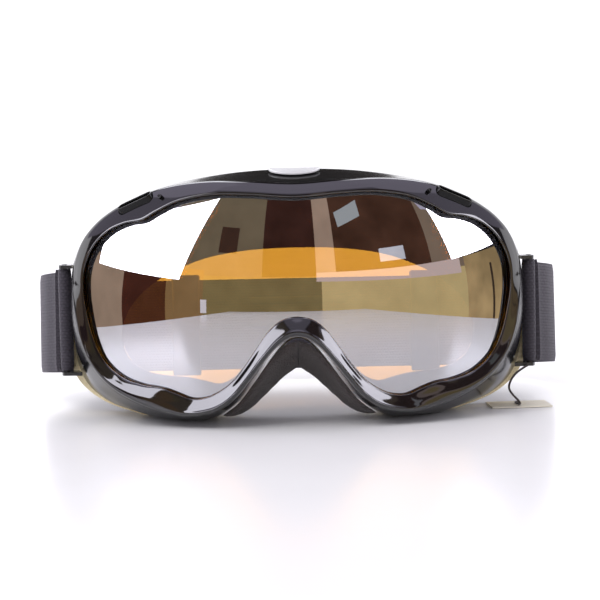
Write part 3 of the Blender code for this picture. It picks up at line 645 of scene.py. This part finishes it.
for side, sign in (("right", 1), ("left", -1)):
    cup = oval_stack("vent_cup_fine_" + side, vent_at(VENT_T * sign),
                     [(15.6, 3.8, -3.4), (16.2, 4.4, -3.2), (16.4, 4.6, -2.9), (16.4, 4.6, 0.9), (16.25, 4.45, 1.25), (15.9, 4.1, 1.45),
                      (15.5, 3.7, 1.45), (15.25, 3.45, 1.25), (15.2, 3.4, 0.8), (15.1, 3.3, -2.0), (14.6, 2.8, -2.2)],
                     [M_VENT, M_VENT_PAINTED_SHADE], "frame")
    ring_n = len(oval(1, 0.5))
    # the inner walls and floor of each vent cup take the painted-shade black, so the hole reads dark
    for f in cup.data.polygons:
        if f.index >= 8 * ring_n and f.index != len(cup.data.polygons) - 2:
            f.material_index = 1
    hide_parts("vent_cup_" + side)
    st = Station((VENT_T - 1.2) * sign % COUNT)
    sc = st.band(st.w - 2.8, 3.2)
    sn = (sc - Vector((0, LENS_R, LENS_ZC))).normalized()
    su = sn.cross(Vector((0, 0, 1))).normalized()
    stud = oval_stack("vent_stud_fine_" + side, (sc, su, sn.cross(su), sn),
                      [(1.81, 1.8, -0.75), (1.81, 1.8, 0.1), (1.65, 1.64, 0.28), (1.2, 1.19, 0.35), (0.8, 0.79, 0.3), (0.6, 0.59, 0.1)], M_VENT, "frame")
    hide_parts("vent_stud_" + side)


def strip(name, ts, section, mats, body, smooth=40.0):
    loops = [section(Station(t % COUNT)) for t in ts]
    m, n = len(loops[0]), len(loops)
    verts = [p for lp in loops for p in lp]
    faces = [tuple(range(m)), tuple(range((n - 1) * m, n * m))]
    for i in range(n - 1):
        for k in range(m):
            l = (k + 1) % m
            faces.append((i * m + k, i * m + l, (i + 1) * m + l, (i + 1) * m + k))
    return add(name, verts, faces, mats, body, smooth)


def vent_foam_section(s):
    a, b = s.shoulder(WALL_T + 0.45, 1.6), s.rim(WALL_T + 0.45, -FLANGE_T - 0.5)
    c, d = s.rim(WALL_T + 2.9, -FLANGE_T - 0.5), s.shoulder(WALL_T + 2.9, 1.6)
    out = []
    for p, q in ((a, b), (b, c), (c, d), (d, a)):
        out += [p.lerp(q, f) for f in (0.12, 0.37, 0.63, 0.88)]
    return out


vf = strip("top_vent_foam_fine", [k * 0.125 for k in range(-32, 33)], vent_foam_section, M_VENTFOAM, "frame", 60)
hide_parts("top_vent_foam")

# ================================================================== badge, left blank
pc, pu, pv, pn = frame_at(0.0, 0.86)
if pv.y < 0:
    pv = -pv
pu = Vector((1, 0, 0))
badge_verts, badge_faces = [], []
NB = 40
layers = [(0.93, 0.45), (1.0, 0.55), (1.0, 1.05), (0.975, 1.2), (0.93, 1.28), (0.84, 1.24), (0.80, 1.18)]
for f, h in layers:
    for k in range(NB + 1):
        a = math.pi * k / NB
        x, y = 10.2 * math.cos(a), -5.6 * math.sin(a)
        badge_verts.append(pc + pu * (x * f) + pv * (-2.6 + (y + 2.6) * f) + pn * h)
m = NB + 1
for r in range(len(layers) - 1):
    for i in range(m):
        j = (i + 1) % m
        badge_faces.append((r * m + i, r * m + j, (r + 1) * m + j, (r + 1) * m + i))
badge_faces += [tuple(range(m)), tuple(range((len(layers) - 1) * m, len(layers) * m))]
badge = add("badge_fine", badge_verts, badge_faces, M_BADGE, "frame", 50)
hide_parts("badge_plate")


# ================================================================== lenses
def lens(name, edge, front, thick, mats, node):
    cx, cz = 0.0, 62.0
    sts = FINE
    rim = [s.band(edge, 0.0) for s in sts]
    n = len(rim)
    fr = [1 - (k / 40.0) ** 1.0 for k in range(40)]
    verts, faces, mat_index = [], [], []
    for h in (front, front - thick):
        for f in fr:
            for p in rim:
                x, z = cx + (p.x - cx) * f, cz + (p.z - cz) * f
                verts.append((x, sphere_y(x, z, h), z))
        verts.append((cx, sphere_y(cx, cz, h), cz))
    side = len(fr) * n + 1
    for s in range(2):
        o = s * side
        for r in range(len(fr) - 1):
            for i in range(n):
                j = (i + 1) % n
                faces.append((o + r * n + i, o + r * n + j, o + (r + 1) * n + j, o + (r + 1) * n + i))
                mat_index.append(s)
        last = (len(fr) - 1) * n
        for i in range(n):
            faces.append((o + last + i, o + last + (i + 1) % n, o + side - 1))
            mat_index.append(s)
    for i in range(n):
        j = (i + 1) % n
        faces.append((i, j, side + j, side + i))
        mat_index.append(1)
    ob = add(name, verts, faces, mats, "frame", 50)
    if len(mats) > 1:
        for p, k in zip(ob.data.polygons, mat_index):
            p.material_index = k
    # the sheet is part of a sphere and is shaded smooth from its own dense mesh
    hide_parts(node)
    return ob


outer_lens = lens("outer_lens_fine", 2.5, -0.3, 1.0, [M_LENS, M_LENS_BACK], "outer_lens")
inner_lens = lens("inner_lens_fine", 2.5, -4.2, 0.8, [M_INNER], "inner_lens")


def gasket_section(s):
    pts = [(0.25, -1.65), (1.4, -1.6), (2.5, -1.65), (2.6, -2.2), (2.6, -3.3), (2.5, -3.85), (1.4, -3.9), (0.25, -3.85), (0.1, -3.3), (0.1, -2.2)]
    return [s.band(u, h) for u, h in pts]


gasket = ring("lens_gasket_fine", MID, gasket_section, M_GASKET, "frame", 60)
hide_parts("lens_gasket")


# ================================================================== face foam and fleece
def wob(t, k, amp):
    """Small smooth unevenness of cut foam."""
    return amp * (math.sin(t * 1.7 + k) * 0.5 + math.sin(t * 3.9 + 2.1 * k) * 0.3 + math.sin(t * 7.3 + 0.7 * k) * 0.2)


def foam_section(s):
    t = s.t
    o = s.foam + wob(t, 0.3, 0.15) + 2.0 * s.cheek
    back = FOAM_T
    i = 1.55 - wob(t, 2.2, 0.2)
    pts = [s.rim(1.1 - s.foam, 0.06), s.rim(0.4 - o, 0.35), s.rim(0.05 - o, 0.95), s.rim(-o - 0.12, 2.6), s.rim(-o - 0.16, 4.2),
           s.rim(-o - 0.1, 6.0), s.rim(0.15 - o, back - 0.8), s.rim(0.7 - o, back - 0.15), s.face(0, back, 0.75), s.face(0, back, 0.5),
           s.face(0, back, 0.25), s.face(i + 0.8, back), s.face(i + 0.1, back - 0.35), s.face(i - 0.12, back - 1.3), s.face(i - 0.18, 4.2),
           s.face(i - 0.1, 1.2), s.face(i + 0.3, 0.25), s.face(i + 1.0, 0.06), s.face(0, 0.06, 0.25), s.face(0, 0.06, 0.5),
           s.face(0, 0.06, 0.75)]
    return pts


foam = ring("face_foam_fine", FINE, foam_section, M_FOAM, "frame", 60)
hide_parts("face_foam_base")


def fleece_section(s):
    t = s.t
    y0, y1 = FOAM_T + 0.06, FOAM_T + 0.6 + FLEECE_T + wob(t, 4.2, 0.12)
    o = s.foam - 0.6 + wob(t, 3.3, 0.15) + 0.8 * s.cheek
    return [s.rim(0.6 - o, y0), s.rim(-o, y0 + 0.25), s.rim(-o - 0.2, y0 + 1.0), s.rim(-o - 0.1, y0 + 2.1), s.rim(0.6 - o, y1 - 0.9),
            s.rim(1.6 - o, y1 - 0.25), s.rim(3.0 - o, y1), s.face(0, y1, 0.7), s.face(0, y1 + 0.02, 0.5), s.face(0, y1, 0.3),
            s.face(3.9, y1 - 0.2), s.face(2.7, y1 - 0.9), s.face(2.1, y1 - 2.0), s.face(1.8, y0 + 1.0), s.face(1.9, y0 + 0.25),
            s.face(2.3, y0), s.face(0, y0, 0.3), s.face(0, y0, 0.6)]


fleece = ring("face_fleece_fine", FINE, fleece_section, M_FLEECE, "frame", 60)
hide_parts("face_fleece")

# ================================================================== nose flaps
FLAP_TOP = [(1.6, 14, 33.2), (4.2, 14, 31.8), (8.0, 14.5, 28.6), (12.6, 15.5, 23), (17.8, 17, 15.8), (23.6, 19.5, 8.2),
            (30.2, 22.5, 3.0)]
FLAP_MID = [(1.6, 30, 26.3), (3.8, 30, 25), (7.4, 30, 22.2), (11.6, 30, 17.6), (16.6, 30, 11.6), (22, 30.5, 5.8),
            (28.6, 31, 2.5)]
FLAP_LOW = [(1.7, 45, 20.4), (3.8, 45, 18.6), (7.2, 45, 15.8), (11, 44.5, 12.4), (15.6, 43.5, 8.6), (20.8, 41, 4.6),
            (26.8, 36.6, 2.0)]
for side, sign in (("right", 1), ("left", -1)):
    near = []
    for k, q in enumerate(FLAP_TOP):
        a, b = FLAP_TOP[max(0, k - 1)], FLAP_TOP[min(len(FLAP_TOP) - 1, k + 1)]
        dx, dz = b[0] - a[0], b[2] - a[2]
        n = math.hypot(dx, dz)
        near.append((q[0] - dz / n * 1.15, q[1] - 1.5, q[2] + dx / n * 1.15))
    rows3 = [[(0.3 + (q[0] - 1.6) * 1.0 if k == 0 else q[0] - 0.5 * (k == 1), q[1], q[2]) for k, q in enumerate(r)] for r in (near, FLAP_MID, FLAP_LOW)]
    rows3[0][0] = (0.3, rows3[0][0][1], rows3[0][0][2])
    tops, mids, lows = (open_spline(r, 8) for r in rows3)
    NK = 28
    rows = []
    for a, b, c in zip(tops, mids, lows):
        a, b, c = Vector(a), Vector(b), Vector(c)
        mid = 2 * b - 0.5 * (a + c)
        rows.append([(1 - f) ** 2 * a + 2 * f * (1 - f) * mid + f * f * c for f in [k / NK for k in range(NK + 1)]])
    R, K = len(rows), NK + 1
    grid = np.array([[tuple(p) for p in r] for r in rows])
    du = np.gradient(grid, axis=0)
    dv = np.gradient(grid, axis=1)
    nrm = np.cross(dv, du)
    nrm /= np.linalg.norm(nrm, axis=2, keepdims=True)
    nrm *= np.where(nrm[..., 2:3] > 0, -1, 1)
    # the section across the sheet swells in the middle and thins at the cut edges
    verts = []
    for layer in range(2):
        for i in range(R):
            for k in range(K):
                e = min(i, R - 1 - i) / 4.0
                g = min(k, K - 1 - k) / 3.0
                soft = min(1.0, math.sqrt(max(0.0, min(1.0, e))) if e < 1 else 1.0) * (math.sqrt(g) if g < 1 else 1.0)
                th = 0.9 + 0.85 * soft * (1 if layer else -1)
                th += 0.05 * math.sin(i * 0.9) * math.sin(k * 0.8)
                p = grid[i, k] + nrm[i, k] * th
                verts.append((p[0] * sign, p[1], max(0.05, p[2])))
    faces = []
    o = R * K
    for i in range(R - 1):
        for k in range(K - 1):
            q = (i * K + k, i * K + k + 1, (i + 1) * K + k + 1, (i + 1) * K + k)
            faces.append(q)
            faces.append(tuple(o + x for x in reversed(q)))
    border = [i * K for i in range(R)] + [(R - 1) * K + k for k in range(1, K)] + [i * K + K - 1 for i in range(R - 2, -1, -1)] + [k for k in range(K - 2, 0, -1)]
    for a, b in zip(border, border[1:] + border[:1]):
        faces.append((a, b, o + b, o + a))
    flap = add("nose_flap_fine_" + side, verts, faces, M_FLAP, "frame", 60)
    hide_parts("nose_flap_" + side)


# ================================================================== strap
def banded(name, path, zlow, zhigh, thick, mats, body, tilt=False, nz=12, start=0.0):
    """Webbing along a plan path. zlow and zhigh may vary along it: functions of the share of length."""
    n = len(path)
    P = [Vector((p[0], p[1], 0)) for p in path]
    run = [0.0]
    for a, b in zip(P, P[1:]):
        run.append(run[-1] + (b - a).length)
    total = run[-1]
    cross = []
    # a rounded section, walked once round: (side, share of height)
    for k in range(nz + 1):
        cross.append((1, k / nz))
    for k in range(nz, -1, -1):
        cross.append((-1, k / nz))
    verts, uvs = [], []
    M = len(cross)
    for i, p in enumerate(P):
        a, b = P[max(0, i - 1)], P[min(n - 1, i + 1)]
        d = (b - a).normalized()
        nx = Vector((d.y, -d.x, 0))
        f = run[i] / total
        z0, z1 = zlow(f), zhigh(f)
        for s, g in cross:
            edge = min(g, 1 - g) * nz
            th = thick / 2 * (1.0 if edge >= 1 else 0.55)
            q = p + nx * (s * th)
            verts.append(Vector((q.x, q.y, z0 + (z1 - z0) * g)))
            uvs.append((run[i] * MM + start, g * (z1 - z0) * MM))
    if tilt:
        R = Matrix.Rotation(math.radians(STRAP_TILT), 3, 'X')
        o = Vector((0, BAR_Y, BAR_Z))
        verts = [o + R @ (v - o) for v in verts]
    faces = [tuple(range(M)), tuple(range((n - 1) * M, n * M))]
    for i in range(n - 1):
        for k in range(M):
            l = (k + 1) % M
            faces.append((i * M + k, i * M + l, (i + 1) * M + l, (i + 1) * M + k))
    return add(name, verts, faces, mats, body, 50, uv=uvs)


half = open_spline(STRAP_PLAN, 8)
full = half + [(-x, y) for x, y in reversed(half[:-1])]
H = STRAP_W / 2
strap = banded("strap_band_fine", full, lambda f: BAR_Z - H, lambda f: BAR_Z + H, STRAP_T, M_STRAP, None, tilt=True, nz=16)
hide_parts("strap_band")


def loop_path(sign):
    pts = [(95.9, 68.6), (95.4, 66), (94.9, 64), (94.3, 61.5), (93.9, 59.5), (93.65, 57.6)]
    for k in range(0, 17):
        a = math.pi + math.pi * k / 16
        pts.append((BAR_X + 2.0 * math.cos(a), BAR_Y - 0.2 + 2.0 * math.sin(a)))
    pts += [(97.6, 57), (97.6, 58.5), (97.6, 60), (97.6, 62.5), (97.6, 65), (97.6, 67.5), (97.6, 69.6)]
    return [(sign * p[0], p[1]) for p in pts]


for side, sign in (("right", 1), ("left", -1)):
    lp = banded("strap_loop_fine_" + side, loop_path(sign), lambda f: BAR_Z - H, lambda f: BAR_Z + H, LOOP_T, M_STRAP, "frame", nz=16, start=0.31)
    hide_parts("strap_loop_" + side)

# ================================================================== arms and bars: CAD shapes with finished materials
for n in ("strap_arm_top_left", "strap_arm_top_right", "strap_arm_base_left", "strap_arm_base_right"):
    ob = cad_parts[n]
    ob.data.materials.clear()
    ob.data.materials.append(M_BRACKET)
for n in ("strap_bar_left", "strap_bar_right"):
    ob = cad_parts[n]
    ob.data.materials.clear()
    ob.data.materials.append(M_BAR)

pivot = Vector((0, BAR_Y, BAR_Z))
TILT = Matrix.Rotation(math.radians(STRAP_TILT), 3, 'X')
TILT4 = Matrix.Translation(M(pivot)) @ TILT.to_4x4() @ Matrix.Translation(-M(pivot))


def soft_box(name, lo, hi, bevel, segs, mats, body, matrix=None):
    bm = bmesh.new()
    bmesh.ops.create_cube(bm, size=1.0)
    size = Matrix.Diagonal([(h - l) * MM for l, h in zip(lo, hi)] + [1])
    place = Matrix.Translation(M([(h + l) / 2 for l, h in zip(lo, hi)]))
    bmesh.ops.transform(bm, matrix=place @ size, verts=bm.verts)
    bmesh.ops.bevel(bm, geom=bm.edges[:] + bm.verts[:], offset=bevel * MM, segments=segs, profile=0.5, affect='EDGES', clamp_overlap=True)
    if matrix is not None:
        bmesh.ops.transform(bm, matrix=matrix, verts=bm.verts)
    me = bpy.data.meshes.new(name)
    bm.to_mesh(me)
    bm.free()
    me.materials.append(mats)
    me.shade_smooth()
    me.set_sharp_from_angle(angle=math.radians(40))
    ob = bpy.data.objects.new(name, me)
    scene.collection.objects.link(ob)
    if body:
        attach(ob, body)
    return ob


for name, zc in (("grip_upper", 11.0), ("grip_middle", 0.0), ("grip_lower", -11.0)):
    g = soft_box(name + "_fine", (-22, BACK_Y - STRAP_T / 2 - 0.9, BAR_Z + zc - 1.4), (22, BACK_Y - STRAP_T / 2 - 0.05, BAR_Z + zc + 1.4),
                 0.35, 3, M_GRIP, "strap", TILT4)
    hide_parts(name)

for side, sign in (("right", 1), ("left", -1)):
    x = SLIDER_X[side]
    hz = STRAP_W / 2
    sl = soft_box("slider_fine_" + side, (x - 6.5, BACK_Y - 2.3, BAR_Z - hz - 2.4), (x + 6.5, BACK_Y + 2.7, BAR_Z + hz + 2.4), 0.9, 4, M_SLIDER, None)
    cuts = [soft_box("cut", (x - 9, BACK_Y - 1.15, BAR_Z - hz - 0.4), (x + 9, BACK_Y + 1.15, BAR_Z + hz + 0.4), 0.2, 2, M_SLIDER, None),
            soft_box("cut", (x - 5.0, BACK_Y + 0.5, BAR_Z - hz + 1), (x - 1.1, BACK_Y + 4, BAR_Z + hz - 1), 0.4, 3, M_SLIDER, None),
            soft_box("cut", (x + 1.1, BACK_Y + 0.5, BAR_Z - hz + 1), (x + 5.0, BACK_Y + 4, BAR_Z + hz - 1), 0.4, 3, M_SLIDER, None)]
    for c in cuts:
        cut_with(sl, c)
    apply_all(sl)
    for c in cuts:
        bpy.data.objects.remove(c, do_unlink=True)
    bv = sl.modifiers.new("edge", 'BEVEL')
    bv.width = 0.2 * MM
    bv.segments = 2
    bv.limit_method = 'ANGLE'
    bv.angle_limit = math.radians(50)
    apply_all(sl)
    sl.data.transform(TILT4)
    sl.data.shade_smooth()
    sl.data.set_sharp_from_angle(angle=math.radians(35))
    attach(sl, "adjuster_" + side)
    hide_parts("slider_" + side)

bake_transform(strap)

# ================================================================== retail tag: string and blank card
cord_pts = [(94.6, 50.2, 17.4), (92.2, 49.4, 16.2), (89.2, 48.6, 14.2), (87.0, 47.6, 11.6), (86.0, 46.6, 8.6), (87.2, 46.4, 6.0),
            (89.4, 46.8, 3.6), (90.6, 48.0, 1.9), (90.6, 50.4, 1.2), (90.0, 53.0, 1.15), (89.6, 55.5, 1.1), (90.2, 57.4, 1.1), (91.6, 58.2, 1.1)]
route = open_spline(cord_pts, 6)
cu = bpy.data.curves.new("tag_cord_fine", 'CURVE')
cu.dimensions = '3D'
sp = cu.splines.new('POLY')
sp.points.add(len(route) - 1)
for p, q in zip(sp.points, route):
    p.co = (*M(q), 1)
cu.bevel_depth = 0.45 * MM
cu.bevel_resolution = 4
cu.use_fill_caps = True
cu.materials.append(M_STRING)
cord = bpy.data.objects.new("tag_cord_fine", cu)
scene.collection.objects.link(cord)
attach(cord, "frame")
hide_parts("tag_cord")
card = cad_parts["tag_card"]
card.data.materials.clear()
card.data.materials.append(M_CARD)


# ================================================================== studio
def emission(name, rgb, strength, streak=0.0):
    m = Mat(name)
    e = m.node("ShaderNodeEmission")
    e.inputs["Strength"].default_value = strength
    v = m.coords()
    f = m.noise(v, 3.0, 2.0)
    lo, hi = tuple(c * (1 - streak) for c in rgb), tuple(c * (1 + streak) for c in rgb)
    m.link(m.ramp(f, [(0.3, lo), (0.7, hi)]), e.inputs["Color"])
    m.link(e.outputs[0], m.out.inputs["Surface"])
    return m.m


HEART = Vector((0, -0.079, 0.045))


def patch(name, corners, dist, mat):
    """Card of the room seen only in reflections. Corners are (azimuth, elevation): azimuth 0 looks along -Y, + to the right."""
    N = 12
    (a0, e0), (a1, e1), (a2, e2), (a3, e3) = corners
    verts, faces = [], []
    for i in range(N + 1):
        for k in range(N + 1):
            f, g = i / N, k / N
            az = (a0 * (1 - f) + a1 * f) * (1 - g) + (a3 * (1 - f) + a2 * f) * g
            el = (e0 * (1 - f) + e1 * f) * (1 - g) + (e3 * (1 - f) + e2 * f) * g
            az, el = math.radians(az), math.radians(el)
            d = Vector((math.sin(az) * math.cos(el), -math.cos(az) * math.cos(el), math.sin(el)))
            verts.append(tuple(HEART + d * dist))
    for i in range(N):
        for k in range(N):
            a = i * (N + 1) + k
            faces.append((a, a + 1, a + N + 2, a + N + 1))
    me = bpy.data.meshes.new(name)
    me.from_pydata(verts, [], faces)
    me.materials.append(mat)
    ob = bpy.data.objects.new(name, me)
    scene.collection.objects.link(ob)
    ob.visible_camera = False
    ob.visible_diffuse = False
    ob.visible_shadow = False
    return ob


def srgb(r, g, b, k=1.0):
    return tuple((((c / 255 + 0.055) / 1.055) ** 2.4 if c > 10 else c / 3294.6) * k for c in (r, g, b))


def box(name, az0, az1, el0, el1, rgb, k, dist, streak=0.12):
    """Rectangle of the room between two azimuths and two elevations. k scales the colour to the light it gives off."""
    return patch(name, [(az0, el0), (az1, el0), (az1, el1), (az0, el1)], dist, emission(name, srgb(*rgb), k, streak))


# lights
patch("softbox_left", [(-88, 11), (-49, 10), (-39, 42), (-89, 24)], 1.30, emission("softbox_left", (0.94, 0.92, 1.03), 8.5))
patch("softbox_right", [(67, 13), (92, 14), (92, 28), (63, 34)], 1.30, emission("softbox_right", (0.94, 0.92, 1.03), 9.0))
patch("ceiling_front", [(-50, 55), (50, 55), (50, 80), (-50, 80)], 1.6, emission("ceiling_front", (0.93, 0.86, 1.10), 1.45))
patch("ceiling_left", [(-110, 36), (-48, 47), (-50, 80), (-110, 80)], 1.62, emission("ceiling_left", (0.93, 0.86, 1.10), 1.7))
patch("ceiling_right", [(48, 47), (110, 36), (110, 80), (50, 80)], 1.62, emission("ceiling_right", (0.93, 0.86, 1.10), 1.5))
patch("ceiling_edge_left", [(-112, 18), (-58, 33), (-54, 48), (-112, 40)], 1.66, emission("ceiling_edge_left", (0.93, 0.86, 1.10), 0.75))
patch("ceiling_edge_right", [(60, 32), (112, 18), (112, 40), (52, 48)], 1.66, emission("ceiling_edge_right", (0.93, 0.86, 1.10), 0.75))
patch("ceiling_low", [(-48, 48), (48, 48), (50, 55), (-50, 55)], 1.63, emission("ceiling_low", (0.93, 0.86, 1.10), 0.7))
patch("wall_left", [(-172, 2), (-100, 2), (-110, 36), (-172, 60)], 1.7, emission("wall_left", (0.97, 0.96, 1.0), 1.9))
patch("wall_right", [(100, 2), (172, 2), (172, 60), (110, 36)], 1.7, emission("wall_right", (0.97, 0.96, 1.0), 1.7))
key_m = emission("overhead_key", (0.93, 0.93, 1.0), 9.0)

# room
K = 1.9
box("room_olive", -57, -14, -3, 47, (104, 92, 74), K, 1.95)
box("room_window", -33, -25, 21, 31, (60, 42, 34), K, 1.85)
box("room_dark", -14, 8, 8, 47, (54, 33, 28), K, 1.94, 0.25)
box("room_low", -40, 10, -8, 12, (112, 100, 68), K, 1.93)
box("room_jamb", 8, 16, 10, 47, (148, 126, 110), K, 1.92)
box("room_shelf", 16, 58, 12, 47, (66, 44, 34), K, 1.91, 0.3)
patch("room_note", [(19, 31), (30, 34.5), (30, 41), (18, 37)], 1.80, emission("room_note", srgb(150, 154, 156), K))
box("room_box", 35, 46, 16, 21, (190, 190, 198), K, 1.80)
box("room_right", 57, 74, 8, 47, (116, 100, 86), K, 1.90)
patch("room_counter", [(8, 10), (70, 8), (70, 13), (8, 13.5)], 1.78, emission("room_counter", srgb(186, 166, 160), K))
patch("room_wall", [(10, -10), (72, -14), (72, 10), (10, 11)], 1.88, emission("room_wall", srgb(178, 158, 112), K, 0.08))
box("room_wall_far", 72, 97, -16, 13, (156, 132, 94), K, 1.87, 0.3)
box("room_cable", 84.5, 85.6, -14, 9, (58, 46, 38), K, 1.80)
box("room_door", -74, -53, -14, 14, (66, 36, 28), K, 1.86, 0.25)
box("room_panel", -54, -38, -14, 14, (124, 98, 66), K, 1.85)
box("room_taupe", -100, -74, -16, 14, (146, 124, 106), K, 1.84)
box("room_bottle", -39, -36.5, -2, 3, (206, 200, 206), K, 1.75)


def plane(name, corners, mat, camera=False, diffuse=True, shadow=True):
    me = bpy.data.meshes.new(name)
    me.from_pydata([tuple(c) for c in corners], [], [(0, 1, 2, 3)])
    me.materials.append(mat)
    ob = bpy.data.objects.new(name, me)
    scene.collection.objects.link(ob)
    ob.visible_camera = camera
    ob.visible_diffuse = diffuse
    ob.visible_shadow = shadow
    return ob


plane("overhead_left", [(-1.0, -0.22, 1.6), (-0.28, -0.22, 1.6), (-0.28, 0.9, 1.45), (-1.0, 0.9, 1.45)], key_m, diffuse=False, shadow=False)
plane("overhead_right", [(0.28, -0.22, 1.6), (1.0, -0.22, 1.6), (1.0, 0.9, 1.45), (0.28, 0.9, 1.45)], key_m, diffuse=False, shadow=False)
plane("backdrop", [(-1.1, 2.6, -0.1), (1.1, 2.6, -0.1), (1.1, 2.6, 0.85), (-1.1, 2.6, 0.85)], emission("backdrop", (1.0, 0.99, 1.02), 1.75, 0.0),
      diffuse=False, shadow=False)

# white table with a soft gloss
fm = Mat("studio_floor")
fm.principled((0.95, 0.945, 0.97), 0.22, IOR=1.25)
fv = fm.coords()
fm.rough_range(fm.noise(fv, 18.0, 3.0), 0.20, 0.25)
fme = bpy.data.meshes.new("studio_floor")
fme.from_pydata([(x, y, -0.0002) for x, y in ((-4, 2.55), (-4, 0.06), (-0.37, 0.06), (-0.37, -0.08), (-0.85, -1.74), (0.85, -1.74), (0.37, -0.08),
                                              (0.37, 0.06), (4, 0.06), (4, 2.55))], [], [tuple(range(9, -1, -1))])
fme.materials.append(fm.m)
floor = bpy.data.objects.new("studio_floor", fme)
scene.collection.objects.link(floor)

# surroundings: white where the camera looks, soft grey light for diffuse surfaces, dark room for reflections
world = bpy.data.worlds.new("studio_world")
scene.world = world
world.use_nodes = True
wt = world.node_tree
bg = wt.nodes["Background"]
lp = wt.nodes.new("ShaderNodeLightPath")
m1 = wt.nodes.new("ShaderNodeMixRGB")
m1.inputs[1].default_value = (0.90, 0.885, 0.94, 1)
m1.inputs[2].default_value = (0.055, 0.047, 0.045, 1)
wt.links.new(lp.outputs["Is Glossy Ray"], m1.inputs[0])
m2 = wt.nodes.new("ShaderNodeMixRGB")
m2.inputs[2].default_value = (1.25, 1.24, 1.27, 1)
wt.links.new(lp.outputs["Is Camera Ray"], m2.inputs[0])
wt.links.new(m1.outputs[0], m2.inputs[1])
wt.links.new(m2.outputs[0], bg.inputs[0])
bg.inputs[1].default_value = 1.0

key = bpy.data.lights.new("key", 'AREA')
key.shape = 'RECTANGLE'
key.size, key.size_y = 0.9, 0.7
key.energy = 9.0
key.color = (1.0, 0.985, 0.97)
key_ob = bpy.data.objects.new("key", key)
scene.collection.objects.link(key_ob)
key_ob.location = (-0.55, -0.85, 1.1)
key_ob.rotation_euler = (Vector((0, 0, 0.03)) - key_ob.location).to_track_quat('-Z', 'Y').to_euler()
key_ob.visible_glossy = False
key_ob.visible_camera = False

scene.view_settings.view_transform = 'Standard'
scene.view_settings.look = 'None'
scene.view_settings.exposure = 0.0
scene.view_settings.gamma = 1.0
